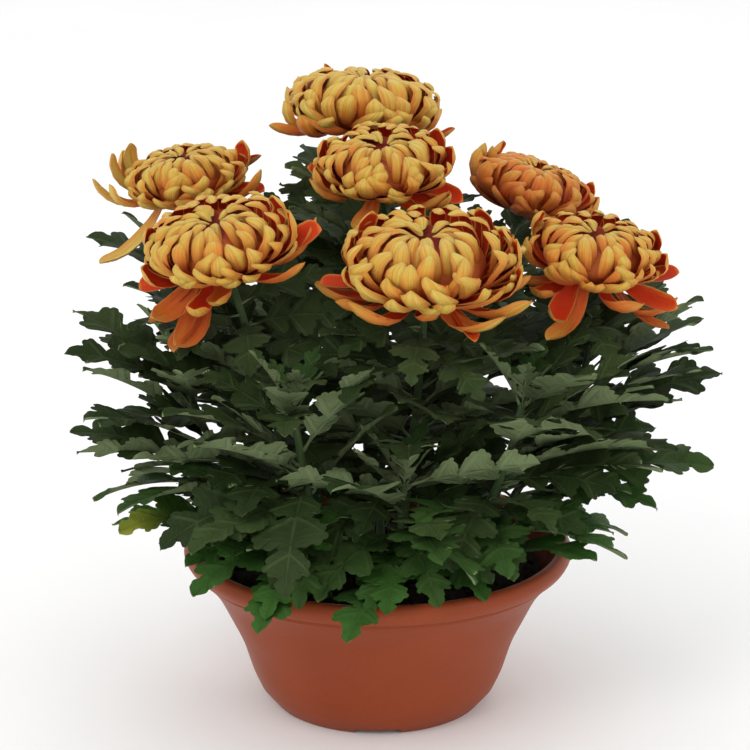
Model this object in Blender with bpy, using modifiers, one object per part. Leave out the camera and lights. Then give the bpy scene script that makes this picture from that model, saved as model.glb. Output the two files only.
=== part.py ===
"""Pot chrysanthemum: seven incurved bronze blooms on leafy stems, planted in a bulb bowl of compost.

Metres, +Z up. The origin is the middle of the pot's underside, on the surface that it stands on.
"""

import math
import random

import bmesh
import bpy
from mathutils import Matrix, Vector
from mathutils.bvhtree import BVHTree
from mathutils.geometry import interpolate_bezier

MM = 0.001
GAP = 0.3 * MM  # clearance between pieces that touch

# The pot: a plastic bulb bowl with a flared, rolled rim
POT_SIDES = 28
POT_WALL = 2.4 * MM
POT_WALL_RISE = 0.3  # how far the inside stands above the outside, against the wall
POT_FOOT_RADIUS = 62.0 * MM
POT_FLOOR_UNDER = 4.0 * MM
POT_PAD_RADIUS = 18.0 * MM
POT_RING_INNER = 53.0 * MM
POT_OUTSIDE_MM = ((113.0, 97.0), (114.8, 93.0), (113.2, 89.0), (104.2, 80.6), (96.2, 70.0), (88.0, 54.0),
                  (81.0, 39.0), (75.2, 21.0), (70.4, 10.0), (62.0, 0.0))
POT_LIP_MM = ((106.0, 95.6), (109.5, 98.2))
NOTCH_COUNT = 4
NOTCH_WIDTH = 27.0 * MM
NOTCH_HEIGHT = 3.52 * MM
DRAIN_COUNT = 4
DRAIN_RADIUS = 4.0 * MM
DRAIN_CIRCLE = 37.0 * MM
DRAIN_SIDES = 6
CUTTER_SPARE = 20.0 * MM  # how far a cutter runs on past what it cuts

# The compost
SOIL_TOP = 82.0 * MM
SOIL_CROWN = 5.0 * MM
SOIL_TOP_SHARE = 0.25  # where the compost's edge ends, from the wall's highest point to the rim

# Stems
STEM_RADIUS = 2.6 * MM
STEM_TOP_RADIUS = 2.0 * MM
STEM_ROOT = 34.0 * MM  # how deep a stem stands in the compost
STEM_POINTS = 8
STEM_FOOT_SHARE = 0.40  # a stem's foot is this share of its bloom's distance from the pot's axis
STEM_RISE_SHARE = 0.42  # the handles of a stem's curve against its height
STEM_BULGE_SHARE = 0.12
CUP_RADIUS = 8.0 * MM
CUP_HEIGHT = 8.0 * MM

# Blooms: name, middle (mm), radius (mm), lean from upright and the way it leans (degrees, 0 is +X), seed
BLOOMS = (
    ("back", (-9.0, 98.0, 339.0), 44.0, 4.0, 20.0, 31),
    ("middle", (3.0, 14.0, 320.0), 37.0, 26.0, -92.0, 32),
    ("left_back", (-114.0, 52.0, 306.0), 40.0, 10.0, 205.0, 13),
    ("left_front", (-88.0, -52.0, 290.0), 40.0, 27.0, -118.0, 24),
    ("front", (26.0, -66.0, 281.0), 43.0, 20.0, -88.0, 25),
    ("right_back", (90.0, 62.0, 296.0), 38.0, 20.0, -5.0, 16),
    ("right_front", (122.0, -22.0, 277.0), 38.0, 22.0, -52.0, 57),
)
DOME_FLAT = 0.60  # a dome's height against its width
CORE_SHARE = 0.62
CORE_SIDES = 8
CORE_POLARS = (0, 48, 92, 132)
CORE_HOLLOW = 0.6  # how high the core's crown stands in its hollow, against its radius
PETAL_THICK = 1.4 * MM
LOOSE_SPARE = 1.0 * MM  # how much room a loose petal keeps on all sides
LOOSE_STEPS = 8
DOME_STEPS = 6
# How much a loose petal is shortened and lifted, try by try, until it is clear of its neighbours
LOOSE_TRIES = ((1.0, 0.0), (0.92, 12.0), (0.84, 24.0), (0.74, 36.0), (0.6, 46.0))
# Rings of incurved petals: count, ring radius and petal width against the dome's radius, and the polar
# angles of root and tip in degrees
DOME_RINGS = (
    (5, 0.66, 0.38, 60.0, 6.0),
    (6, 0.86, 0.46, 96.0, 24.0),
    (8, 1.04, 0.50, 124.0, 48.0),
)
DOME_CUP = 0.62  # how far a petal's edges fall behind its back, against half its width
LOOSE_CUP = 0.5
LOOSE_ROOT = (0.38, 0.12)  # where loose petals leave the core, out and up, against the dome's radius
# A petal's outline: share of its length and of its full width
CROWN_OUTLINE = ((0.0, 0.5), (0.66, 1.0))
DOME_OUTLINE = ((0.0, 0.5), (0.46, 1.0), (0.86, 0.80))
LOOSE_OUTLINE = ((0.0, 0.6), (0.50, 1.0), (0.86, 0.82))
# Loose petals under each dome: azimuth, slope at the root, how far it curls up (degrees), length and width (mm)
LOOSE = {
    "back": ((180, -5, 85, 38, 12), (200, -35, 40, 42, 13), (118, 30, 60, 40, 10), (-10, -28, 60, 44, 13),
             (-42, -24, 60, 38, 14), (-74, -18, 95, 32, 14), (-112, -34, 50, 34, 14), (56, -10, 65, 40, 14)),
    "middle": ((-12, -20, 20, 36, 14), (14, -4, 50, 32, 14), (-108, -62, 20, 28, 13), (178, -14, 60, 32, 13),
               (-60, -44, 70, 34, 14), (-148, -36, 60, 34, 13)),
    "left_back": ((185, -10, 50, 42, 9), (172, 10, 55, 40, 9), (154, 20, 60, 38, 10), (-8, -14, 15, 34, 16),
                  (208, -50, 2, 48, 11), (96, -8, 66, 38, 14), (48, -8, 60, 38, 14), (-84, -34, 50, 36, 14)),
    "left_front": ((-130, -63, -4, 50, 17), (-155, -54, -8, 46, 16), (188, -20, 15, 36, 14), (-5, 0, 15, 44, 17),
                   (-24, -24, 50, 46, 9), (-46, -44, 50, 38, 12), (-92, -54, 70, 30, 14), (120, -10, 60, 34, 14)),
    "front": ((180, -8, 10, 42, 14), (196, -34, 25, 48, 16), (212, -46, 40, 38, 12), (-118, -52, 85, 42, 15),
              (-90, -50, 110, 30, 14), (-62, -58, 75, 44, 15), (-38, -38, 45, 50, 14), (-18, -24, 50, 46, 13),
              (12, 6, 62, 46, 14), (44, 0, 70, 40, 14)),
    "right_back": ((158, 26, 62, 34, 13), (186, 0, 80, 34, 13), (-6, -24, 30, 36, 14), (48, -16, 60, 38, 14),
                   (100, -10, 66, 38, 14), (-64, -34, 50, 34, 14)),
    "right_front": ((-12, -28, 50, 44, 15), (6, -8, 45, 40, 14), (-34, -56, 70, 48, 12), (-98, -72, 20, 46, 12),
                    (-148, -54, 20, 32, 12), (-66, -50, 70, 36, 14), (60, -6, 60, 34, 14)),
}

# Short shoots that bear no bloom: name, azimuth, distance of the tip from the pot's axis and its height (mm)
SHOOTS = (
    ("front_left", 242.0, 98.0, 204.0, 21),
    ("front_middle", 280.0, 84.0, 160.0, 27),
    ("front_right", 318.0, 108.0, 204.0, 22),
    ("left", 182.0, 114.0, 208.0, 23),
    ("back_left", 124.0, 110.0, 216.0, 24),
    ("back_right", 66.0, 110.0, 216.0, 25),
    ("right", 8.0, 126.0, 212.0, 26),
)
SHOOT_ROOT = 58.0 * MM
SHOOT_RISE_SHARE = 0.4
SHOOT_BEND = 12.0 * MM  # how much further in than its tip a shoot's upper handle is

# Leaves
LEAF_THICK = 0.8 * MM
PETIOLE_STOUT = 1.4  # how much thicker than the blade the petiole's foot is
LEAF_LENGTH = 98.0 * MM
LEAVES_A_STEM = 7
LEAVES_A_SHOOT = 5
LEAF_LOWEST = 18.0 * MM  # the lowest leaf above the compost's rim
LEAF_BELOW_BLOOM = 34.0 * MM  # the highest leaf below the top of a stem, and of a shoot
LEAF_BELOW_TIP = 4.0 * MM
LEAF_SPREAD = 104.0  # how far a leaf turns from straight out, in degrees, unless its stem is near the axis
NEAR_AXIS = 20.0 * MM
GOLDEN_SHARE = 0.618
RIB_STEPS = 24
# Half of a leaf's outline, petiole included, against its length: lobe tips and the sinuses between them
LEAF_HALF = ((0.0, 0.013), (0.19, 0.018), (0.36, 0.175), (0.43, 0.09), (0.62, 0.24), (0.70, 0.11),
             (0.85, 0.165))
LEAF_RIB = (0.19, 0.43, 0.70)
# From a stem's lowest leaf to its highest: the slope at the leaf's foot, and how much it droops (degrees)
LEAF_SLOPES = (22.0, 46.0)
LEAF_SLOPE_VARIES = 8.0
LEAF_DROOPS = (46.0, 20.0)
LEAF_DROOP_VARIES = 10.0
LEAF_DROOP_GROWTH = 1.4  # the power of the way along a leaf that its droop follows
LEAF_FOLDS = (6.0, 18.0)
# How far a leaf is tried away from its place until it crosses nothing: turn (radians), slope, droop and shortening
LEAF_TRIES = 30
TRY_TURN = 1.5
TRY_SLOPE = 34.0
TRY_DROOP = 26.0
TRY_SHORTER = 0.32
LEAF_CLEARANCE = 1.0 * MM
NEIGHBOURS_CLEAR = 3  # a leaf keeps clear of this many leaves before it on its own stem
# Leaves that the photograph shows in front, over the rim and at the sides: stem, height of the base (mm), azimuth,
# first slope and droop (degrees), length (mm) and how far the left edge is lifted (degrees)
LEADING = (
    ("front_left", 112, 214, 20, 62, 90, -8),
    ("front_left", 106, 246, 20, 64, 80, 6),
    ("front_left", 124, 186, 22, 56, 94, -14),
    ("front_left", 140, 228, 30, 52, 96, 0),
    ("front_left", 160, 200, 34, 30, 86, 30),
    ("front_middle", 108, 264, 20, 60, 70, 0),
    ("front_middle", 106, 302, 18, 50, 70, -20),
    ("front_middle", 124, 326, 26, 52, 94, -30),
    ("front_middle", 126, 232, 26, 60, 90, 10),
    ("front_middle", 150, 196, 24, 18, 78, 40),
    ("front_middle", 148, 344, 30, 24, 90, -36),
    ("front_right", 118, 334, 20, 46, 96, -10),
    ("front_right", 124, 280, 24, 62, 80, 12),
    ("front_right", 160, 352, 26, 34, 96, -20),
    ("front_right", 180, 300, 34, 40, 90, -20),
    ("left", 114, 208, 16, 32, 86, -20),
    ("left", 126, 224, 24, 40, 96, 16),
    ("left", 142, 176, 24, 26, 96, -20),
    ("left", 168, 196, 34, 26, 96, 16),
    ("right", 132, 352, 16, 22, 112, 12),
    ("right", 122, 334, 20, 40, 92, 0),
    ("right", 160, 6, 28, 22, 106, 20),
    ("right", 180, 338, 36, 26, 94, -12),
    ("front", 196, 186, 30, 16, 66, 34),
    ("front", 192, 344, 42, 32, 86, -34),
    ("front", 214, 238, 26, 58, 84, 8),
)
LEADING_FOLD = 12.0


def clear_scene():
    for obj in list(bpy.data.objects):
        bpy.data.objects.remove(obj, do_unlink=True)


def new_collection(name):
    collection = bpy.data.collections.new(name)
    bpy.context.scene.collection.children.link(collection)
    return collection


def material(name, colour, roughness):
    made = bpy.data.materials.new(name)
    made.use_nodes = True
    shader = made.node_tree.nodes["Principled BSDF"]
    shader.inputs["Base Color"].default_value = (*colour, 1.0)
    shader.inputs["Roughness"].default_value = roughness
    shader.inputs["Metallic"].default_value = 0.0
    return made


def object_of(name, points, faces, collection):
    """A mesh object, its faces turned to point out."""
    mesh = bpy.data.meshes.new(name)
    mesh.from_pydata([tuple(p) for p in points], [], faces)
    obj = bpy.data.objects.new(name, mesh)
    collection.objects.link(obj)
    bm = bmesh.new()
    bm.from_mesh(mesh)
    bmesh.ops.recalc_face_normals(bm, faces=bm.faces)
    bm.to_mesh(mesh)
    bm.free()
    return obj


def turned(name, profile, sides, collection):
    """A profile in the XZ plane, turned about Z."""
    mesh = bpy.data.meshes.new(name)
    edges = [(i, i + 1) for i in range(len(profile) - 1)]
    mesh.from_pydata([(r, 0.0, z) for r, z in profile], edges, [])
    obj = bpy.data.objects.new(name, mesh)
    collection.objects.link(obj)
    screw = obj.modifiers.new("Turn", "SCREW")
    screw.steps = sides
    screw.render_steps = sides
    screw.use_merge_vertices = True
    screw.merge_threshold = 1e-5
    return obj


def cut(obj, cutters):
    """Takes each cutter away from the object."""
    for cutter in cutters:
        cutter.hide_render = True
        cutter.display_type = "WIRE"
        boolean = obj.modifiers.new(cutter.name, "BOOLEAN")
        boolean.operation = "DIFFERENCE"
        boolean.solver = "MANIFOLD"
        boolean.object = cutter


def evaluated_mesh(obj):
    graph = bpy.context.evaluated_depsgraph_get()
    return bpy.data.meshes.new_from_object(obj.evaluated_get(graph))


def keep_outer_shell(mesh):
    """Removes the closed pockets that a union of petals leaves between them, which fills them in."""
    bm = bmesh.new()
    bm.from_mesh(mesh)
    left = set(bm.faces)
    shells = []
    while left:
        front = [left.pop()]
        shell = list(front)
        while front:
            for edge in front.pop().edges:
                found = [face for face in edge.link_faces if face in left and len(edge.link_faces) == 2]
                left.difference_update(found)
                front += found
                shell += found
        shells.append(shell)
    outer = max(shells, key=len)
    bmesh.ops.delete(bm, geom=[face for shell in shells if shell is not outer for face in shell], context="FACES")
    bm.to_mesh(mesh)
    bm.free()


def joined(name, pieces, collection, workshop):
    """One body out of overlapping pieces: the first, and a union with all the others."""
    first, rest = pieces[0], pieces[1:]
    others = bpy.data.collections.new(name + "_repeats")
    for piece in rest:
        workshop.objects.unlink(piece)
        others.objects.link(piece)
    boolean = first.modifiers.new("Join", "BOOLEAN")
    boolean.operation = "UNION"
    boolean.solver = "MANIFOLD"
    boolean.operand_type = "COLLECTION"
    boolean.collection = others
    made = bpy.data.objects.new(name, evaluated_mesh(first))
    made.data.name = name
    collection.objects.link(made)
    keep_outer_shell(made.data)
    for piece in [first, *rest]:
        bpy.data.objects.remove(piece, do_unlink=True)
    bpy.data.collections.remove(others)
    return made


def tube(name, points, radii, sides_resolution, workshop):
    """A closed mesh tube along a line of points, made as a bevelled curve."""
    curve = bpy.data.curves.new(name, "CURVE")
    curve.dimensions = "3D"
    curve.bevel_depth = 1.0
    curve.bevel_resolution = sides_resolution
    curve.use_fill_caps = True
    spline = curve.splines.new("POLY")
    spline.points.add(len(points) - 1)
    for slot, point, radius in zip(spline.points, points, radii):
        slot.co = (*point, 1.0)
        slot.radius = radius
    guide = bpy.data.objects.new(name + "_line", curve)
    workshop.objects.link(guide)
    bpy.context.view_layer.update()
    mesh = evaluated_mesh(guide)
    bpy.data.objects.remove(guide, do_unlink=True)
    bm = bmesh.new()
    bm.from_mesh(mesh)
    bmesh.ops.remove_doubles(bm, verts=bm.verts, dist=1e-6)
    bmesh.ops.triangulate(bm, faces=bm.faces)
    bmesh.ops.recalc_face_normals(bm, faces=bm.faces)
    bm.to_mesh(mesh)
    bm.free()
    obj = bpy.data.objects.new(name, mesh)
    workshop.objects.link(obj)
    return obj


def loft(rings, tip):
    """Points and faces of a closed body through rings of equal count, ending in one point."""
    count = len(rings[0])
    points = [p for ring in rings for p in ring] + [tip]
    faces = [tuple(range(count))]
    for k in range(len(rings) - 1):
        for i in range(count):
            j = (i + 1) % count
            a, b, c, d = k * count + i, k * count + j, (k + 1) * count + j, (k + 1) * count + i
            faces += [(a, b, c), (a, c, d)]
    last = (len(rings) - 1) * count
    faces += [(last + i, last + (i + 1) % count, len(points) - 1) for i in range(count)]
    return points, faces


def tree_of(points, faces):
    return BVHTree.FromPolygons([tuple(p) for p in points], faces)


def tree_of_object(obj):
    mesh = obj.data
    return tree_of([obj.matrix_world @ v.co for v in mesh.vertices], [tuple(p.vertices) for p in mesh.polygons])


def frame_at(foot, lean, toward):
    """The matrix of a bloom's own frame: its foot at the origin and its face along +Z."""
    turn = Matrix.Rotation(math.radians(toward), 4, "Z")
    tip = Matrix.Rotation(math.radians(lean), 4, "Y")
    return Matrix.Translation(foot) @ turn @ tip @ turn.inverted()


def pot_profile():
    """Half of the pot's section, from the middle of its floor over the lip and down to its underside."""
    outside = [(r * MM, z * MM) for r, z in POT_OUTSIDE_MM]
    lip = [(r * MM, z * MM) for r, z in POT_LIP_MM]
    inside = [(r - POT_WALL, z + POT_WALL_RISE * POT_WALL) for r, z in outside[3:-1]]
    floor = POT_FLOOR_UNDER + POT_WALL
    inner = [(0.0, floor), (POT_FOOT_RADIUS - POT_WALL, floor)] + inside[::-1]
    under = [(POT_RING_INNER, 0.0), (POT_RING_INNER, POT_FLOOR_UNDER), (POT_PAD_RADIUS, POT_FLOOR_UNDER),
             (POT_PAD_RADIUS, 0.0), (0.0, 0.0)]
    return inner + lip + outside + under, inside


def make_pot(part, workshop):
    profile, inside = pot_profile()
    pot = turned("pot", profile, POT_SIDES, part)
    cutters = []
    for k in range(NOTCH_COUNT):
        bpy.ops.mesh.primitive_cube_add(size=1.0)
        notch = bpy.context.object
        notch.name = f"notch_{k + 1}"
        length = POT_FOOT_RADIUS - POT_RING_INNER + CUTTER_SPARE
        middle = (POT_FOOT_RADIUS + POT_RING_INNER) / 2
        turn = Matrix.Rotation(2 * math.pi * k / NOTCH_COUNT, 4, "Z")
        size = Matrix.Diagonal((length, NOTCH_WIDTH, 2 * NOTCH_HEIGHT, 1.0))
        notch.matrix_world = turn @ Matrix.Translation((middle, 0.0, 0.0)) @ size
        cutters.append(notch)
    for k in range(DRAIN_COUNT):
        angle = 2 * math.pi * (k + 0.5) / DRAIN_COUNT
        bpy.ops.mesh.primitive_cylinder_add(vertices=DRAIN_SIDES, radius=DRAIN_RADIUS, depth=CUTTER_SPARE)
        drain = bpy.context.object
        drain.name = f"drain_{k + 1}"
        drain.location = (DRAIN_CIRCLE * math.cos(angle), DRAIN_CIRCLE * math.sin(angle), POT_FLOOR_UNDER)
        cutters.append(drain)
    for cutter in cutters:
        for home in list(cutter.users_collection):
            home.objects.unlink(cutter)
        workshop.objects.link(cutter)
    cut(pot, cutters)
    return pot, inside


def make_soil(inside, part):
    """The compost: it fills the bowl to below the rim and rises a little in the middle."""
    floor = POT_FLOOR_UNDER + POT_WALL + GAP
    wall = [(r - GAP, z) for r, z in inside if z < SOIL_TOP - 2 * MM]
    top_radius = wall[0][0] + (inside[0][0] - wall[0][0]) * SOIL_TOP_SHARE
    profile = [(0.0, SOIL_TOP + SOIL_CROWN), (top_radius, SOIL_TOP)]
    profile += wall
    profile += [(POT_FOOT_RADIUS - POT_WALL - GAP, floor), (0.0, floor)]
    return turned("soil", profile, POT_SIDES, part)


def stem_route(centre, radius, lean, toward):
    """The line of a stem: out of the compost near the middle of the pot, then up to its bloom's foot."""
    foot = bloom_foot(centre, radius, lean, toward)
    axis = (frame_at(foot, lean, toward).to_3x3() @ Vector((0.0, 0.0, 1.0))).normalized()
    flat = Vector((centre[0], centre[1], 0.0)) * MM
    root = flat * STEM_FOOT_SHARE + Vector((0.0, 0.0, SOIL_TOP - STEM_ROOT))
    rise = (foot.z - root.z) * STEM_RISE_SHARE
    top = foot - axis * (CUP_HEIGHT + GAP)
    low_handle = root + Vector((0.0, 0.0, rise)) + flat * STEM_BULGE_SHARE
    line = interpolate_bezier(root, low_handle, top - axis * rise * 0.8, top, STEM_POINTS)
    return [Vector(p) for p in line], axis


def bloom_foot(centre, radius, lean, toward):
    """The point under a bloom's core where its stem ends."""
    middle = Vector(centre) * MM
    axis = frame_at(Vector(), lean, toward).to_3x3() @ Vector((0.0, 0.0, 1.0))
    return middle - axis * (radius * MM * DOME_FLAT * CORE_SHARE)


def dome_line(radius, share, root, tip, steps):
    """Points of an incurved petal's line in its own upright plane, as (out, up) from the bloom's foot."""
    middle = radius * DOME_FLAT * CORE_SHARE
    line = []
    for k in range(steps + 1):
        t = k / steps
        polar = math.radians(root + (tip - root) * t)
        reach = radius * share * (0.52 + 0.48 * min(1.0, 2.4 * t)) * (1.0 - 0.10 * max(0.0, t - 0.8) / 0.2)
        line.append((reach * math.sin(polar), middle + DOME_FLAT * reach * math.cos(polar)))
    return line


def skirt_line(radius, start, curl, length, steps):
    """Points of a loose lower petal's line, which leaves the core at one slope and curls to another."""
    out, up = LOOSE_ROOT[0] * radius, LOOSE_ROOT[1] * radius
    line = [(out, up)]
    for k in range(steps):
        t = (k + 0.5) / steps
        slope = math.radians(start + curl * t ** 1.6)
        out += length / steps * math.cos(slope)
        up += length / steps * math.sin(slope)
        line.append((out, up))
    return line


def along_line(line, share):
    """The point at a share of the way along a line, and the line's direction there."""
    place = share * (len(line) - 1)
    k = min(int(place), len(line) - 2)
    (a, b), (c, d) = line[k], line[k + 1]
    part_way = place - k
    return a + (c - a) * part_way, b + (d - b) * part_way, c - a, d - b


def petal_shell(line, outline, azimuth, lean, half_width, cup, thick):
    """Points and faces of a cupped petal along a line, in rings of four: two edges, its back and its face."""
    rings = []
    for t, share in outline:
        angle = azimuth + lean * t * t
        radial = Vector((math.cos(angle), math.sin(angle), 0.0))
        side = Vector((-math.sin(angle), math.cos(angle), 0.0))
        out, up, step_out, step_up = along_line(line, t)
        along = (radial * step_out + Vector((0.0, 0.0, step_up))).normalized()
        back = side.cross(along).normalized()
        centre = radial * out + Vector((0.0, 0.0, up))
        width = half_width * share
        edge = centre - back * cup * width
        rings.append([edge - side * width, centre + back * thick * 0.5, edge + side * width,
                      centre - back * thick * 0.5])
    angle = azimuth + lean
    out, up = line[-1]
    tip = Vector((math.cos(angle) * out, math.sin(angle) * out, up))
    return loft(rings, tip)


def core_points(radius):
    """The small core of a bloom, with a hollow at its crown."""
    middle = radius * DOME_FLAT * CORE_SHARE
    profile = []
    for polar in CORE_POLARS:
        turn = math.radians(polar)
        reach = radius * CORE_SHARE * (CORE_HOLLOW if polar == 0 else 1.0)
        profile.append((reach * math.sin(turn), middle + DOME_FLAT * reach * math.cos(turn)))
    return profile + [(CUP_RADIUS, 0.0), (0.0, 0.0)]


def make_core(name, radius, matrix, workshop):
    core = turned(name, core_points(radius), CORE_SIDES, workshop)
    bpy.context.view_layer.update()
    mesh = evaluated_mesh(core)
    mesh.transform(matrix)
    bpy.data.objects.remove(core, do_unlink=True)
    obj = bpy.data.objects.new(name, mesh)
    workshop.objects.link(obj)
    return obj


def petals_of(radius, draw):
    """The incurved petals of a bloom, as a line and its azimuth, sideways lean, half width and cup."""
    petals = []
    for ring, (count, share, width, root, tip) in enumerate(DOME_RINGS):
        for k in range(count):
            azimuth = 2 * math.pi * (k + 0.5 * (ring % 2) + draw.uniform(-0.14, 0.14)) / count
            reach = share * draw.uniform(0.97, 1.03)
            end = tip + draw.uniform(-6.0, 6.0)
            line = dome_line(radius, reach, root, end, DOME_STEPS)
            lean = math.radians(draw.uniform(-14.0, 14.0))
            outline = DOME_OUTLINE if ring else CROWN_OUTLINE
            petals.append((line, outline, azimuth, lean, radius * width / 2 * draw.uniform(0.92, 1.08), DOME_CUP))
    return petals


def loose_forms(name, radius, draw):
    """The loose petals of a bloom. Each is a list of forms: the first that is clear of its neighbours is used."""
    loose = []
    for azimuth, slope, curl, length, width in LOOSE[name]:
        lean = math.radians(draw.uniform(-12.0, 12.0))
        forms = []
        for shrink, lift in LOOSE_TRIES:
            line = skirt_line(radius, slope + lift, curl, length * MM * shrink, LOOSE_STEPS)
            forms.append((line, LOOSE_OUTLINE, math.radians(azimuth), lean, width * MM / 2))
        loose.append(forms)
    return loose


def make_bloom(name, radius, matrix, seed, standing, part, workshop):
    """A bloom: incurved petals in rings round a core, and loose ones. Returns it and the trees of its pieces."""
    draw = random.Random(seed)
    pieces = [make_core("core", radius, matrix, workshop)]
    trees = [tree_of_object(pieces[0])]
    for k, petal in enumerate(petals_of(radius, draw)):
        points, faces = petal_shell(*petal, PETAL_THICK)
        points = [matrix @ p for p in points]
        pieces.append(object_of(f"petal_{k}", points, faces, workshop))
        trees.append(tree_of(points, faces))
    for k, forms in enumerate(loose_forms(name, radius, draw)):
        for line, outline, azimuth, lean, width in forms:
            points, faces = petal_shell(line, outline, azimuth, lean, width + LOOSE_SPARE, LOOSE_CUP,
                                        PETAL_THICK + 2 * LOOSE_SPARE)
            tree = tree_of([matrix @ p for p in points], faces)
            if any(tree.overlap(other) for other in standing):
                continue
            points, faces = petal_shell(line, outline, azimuth, lean, width, LOOSE_CUP, PETAL_THICK)
            points = [matrix @ p for p in points]
            pieces.append(object_of(f"loose_{k}", points, faces, workshop))
            trees.append(tree)
            break
    return joined("bloom_" + name, pieces, part, workshop), trees


def leaf_body(base, azimuth, start, droop, length, fold, roll, thick):
    """Points and faces of one lobed leaf with its petiole, arched along its rib, folded and rolled about it."""
    rib = [(0.0, 0.0)]
    slopes = []
    for k in range(RIB_STEPS):
        slope = math.radians(start - droop * ((k + 0.5) / RIB_STEPS) ** LEAF_DROOP_GROWTH)
        slopes.append(slope)
        rib.append((rib[-1][0] + math.cos(slope) / RIB_STEPS, rib[-1][1] + math.sin(slope) / RIB_STEPS))
    outward = Vector((math.cos(azimuth), math.sin(azimuth), 0.0))
    side = Vector((-math.sin(azimuth), math.cos(azimuth), 0.0))

    def place(x, y, z):
        k = min(int(x * RIB_STEPS), RIB_STEPS - 1)
        part_way = x * RIB_STEPS - k
        out = rib[k][0] + (rib[k + 1][0] - rib[k][0]) * part_way
        up = rib[k][1] + (rib[k + 1][1] - rib[k][1]) * part_way
        slope = slopes[k]
        normal = Vector((0.0, 0.0, 1.0)) * math.cos(slope) - outward * math.sin(slope)
        centre = base + (outward * out + Vector((0.0, 0.0, up))) * length
        across = side * math.cos(roll) + normal * math.sin(roll)
        raised_way = normal * math.cos(roll) - side * math.sin(roll)
        return centre + across * (y * math.cos(fold) * length) + raised_way * (abs(y) * math.sin(fold) * length + z)

    outline = [(x, y) for x, y in LEAF_HALF] + [(1.0, 0.0)] + [(x, -y) for x, y in LEAF_HALF[::-1]]
    flat = outline + [(x, 0.0) for x in LEAF_RIB]
    half = len(LEAF_HALF)
    rib_at = [len(outline) + k for k in range(len(LEAF_RIB))]
    tip = half
    near = list(range(half))
    far = [2 * half - k for k in range(half)]
    triangles = []
    for edge, flip in ((near, False), (far, True)):
        fan = [(edge[0], edge[1], rib_at[0]), (edge[1], edge[2], rib_at[0]), (edge[2], edge[3], rib_at[0]),
               (edge[3], rib_at[1], rib_at[0]), (edge[3], edge[4], rib_at[1]), (edge[4], edge[5], rib_at[1]),
               (edge[5], rib_at[2], rib_at[1]), (edge[5], edge[6], rib_at[2]), (edge[6], tip, rib_at[2])]
        triangles += [tuple(reversed(t)) for t in fan] if flip else fan
    triangles.append((0, rib_at[0], 2 * half))
    count = len(flat)
    points = []
    for sign in (0.5, -0.5):
        for x, y in flat:
            stout = thick * (1.0 + PETIOLE_STOUT * max(0.0, 1.0 - x / LEAF_RIB[0]))
            points.append(place(x, y, sign * stout))
    faces = [(a, c, b) for a, b, c in triangles] + [(a + count, b + count, c + count) for a, b, c in triangles]
    rim = len(outline)
    for i in range(rim):
        j = (i + 1) % rim
        faces += [(i, j, j + count), (i, j + count, i + count)]
    return points, faces


def between(ends, t):
    return ends[0] + (ends[1] - ends[0]) * t


def leaves_of(route, count, high, seed):
    """The leaves of a stem from the lowest up: base, azimuth, first slope, droop, length, fold and roll."""
    draw = random.Random(seed * 7)
    leaves = []
    low = SOIL_TOP + LEAF_LOWEST
    for k in range(count):
        t = k / (count - 1)
        base = point_at_height(route, low + (high - low) * t)
        outward = math.atan2(base.y, base.x)
        spread = math.radians(LEAF_SPREAD) if math.hypot(base.x, base.y) > NEAR_AXIS else math.pi
        azimuth = outward + spread * (2.0 * ((0.5 + k * GOLDEN_SHARE) % 1.0) - 1.0) + draw.uniform(-0.2, 0.2)
        size = 0.88 + 0.16 * math.sin(math.pi * t) - 0.16 * max(0.0, t - 0.8) / 0.2
        start = between(LEAF_SLOPES, t) + draw.uniform(-LEAF_SLOPE_VARIES, LEAF_SLOPE_VARIES)
        droop = between(LEAF_DROOPS, t) + draw.uniform(-LEAF_DROOP_VARIES, LEAF_DROOP_VARIES)
        length = LEAF_LENGTH * size * draw.uniform(0.93, 1.07)
        leaves.append((base, azimuth, start, droop, length, math.radians(draw.uniform(*LEAF_FOLDS)), 0.0))
    return leaves, draw


def point_at_height(route, height):
    for low, high in zip(route, route[1:]):
        if low.z <= height <= high.z:
            return low.lerp(high, (height - low.z) / (high.z - low.z))
    return route[-1]


def leading_leaves(name, route):
    """The leaves of a stem that LEADING places, in the form that leaves_of gives."""
    leaves = []
    for stem, height, azimuth, start, droop, length, roll in LEADING:
        if stem == name:
            base = point_at_height(route, height * MM)
            leaves.append((base, math.radians(azimuth), start, droop, length * MM, math.radians(LEADING_FOLD),
                           math.radians(roll)))
    return leaves


def clear_leaf(leaf, draw, standing):
    """The leaf turned, raised or shortened until it crosses nothing, or None."""
    base, azimuth, start, droop, length, fold, roll = leaf
    for attempt in range(LEAF_TRIES):
        spread = attempt / LEAF_TRIES
        form = (base, azimuth + draw.uniform(-TRY_TURN, TRY_TURN) * spread,
                start + draw.uniform(-TRY_SLOPE, TRY_SLOPE) * spread,
                droop + draw.uniform(-TRY_DROOP, TRY_DROOP) * spread,
                length * (1.0 - TRY_SHORTER * spread * draw.random()), fold, roll)
        points, faces = leaf_body(*form, LEAF_THICK + LEAF_CLEARANCE)
        tree = tree_of(points, faces)
        if not any(tree.overlap(other) for other in standing):
            return form, tree
    return None


def shoot_route(azimuth, reach, height):
    """The line of a short shoot, which leans out of the pot."""
    outward = Vector((math.cos(math.radians(azimuth)), math.sin(math.radians(azimuth)), 0.0))
    root = outward * SHOOT_ROOT + Vector((0.0, 0.0, SOIL_TOP - STEM_ROOT))
    top = outward * reach * MM + Vector((0.0, 0.0, height * MM))
    rise = Vector((0.0, 0.0, (top.z - root.z) * SHOOT_RISE_SHARE))
    line = interpolate_bezier(root, root + rise, top - rise - outward * SHOOT_BEND, top, STEM_POINTS)
    return [Vector(p) for p in line]


def stem_radii(route):
    count = len(route) - 1
    return [STEM_RADIUS + (STEM_TOP_RADIUS - STEM_RADIUS) * k / count for k in range(count + 1)]


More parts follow.
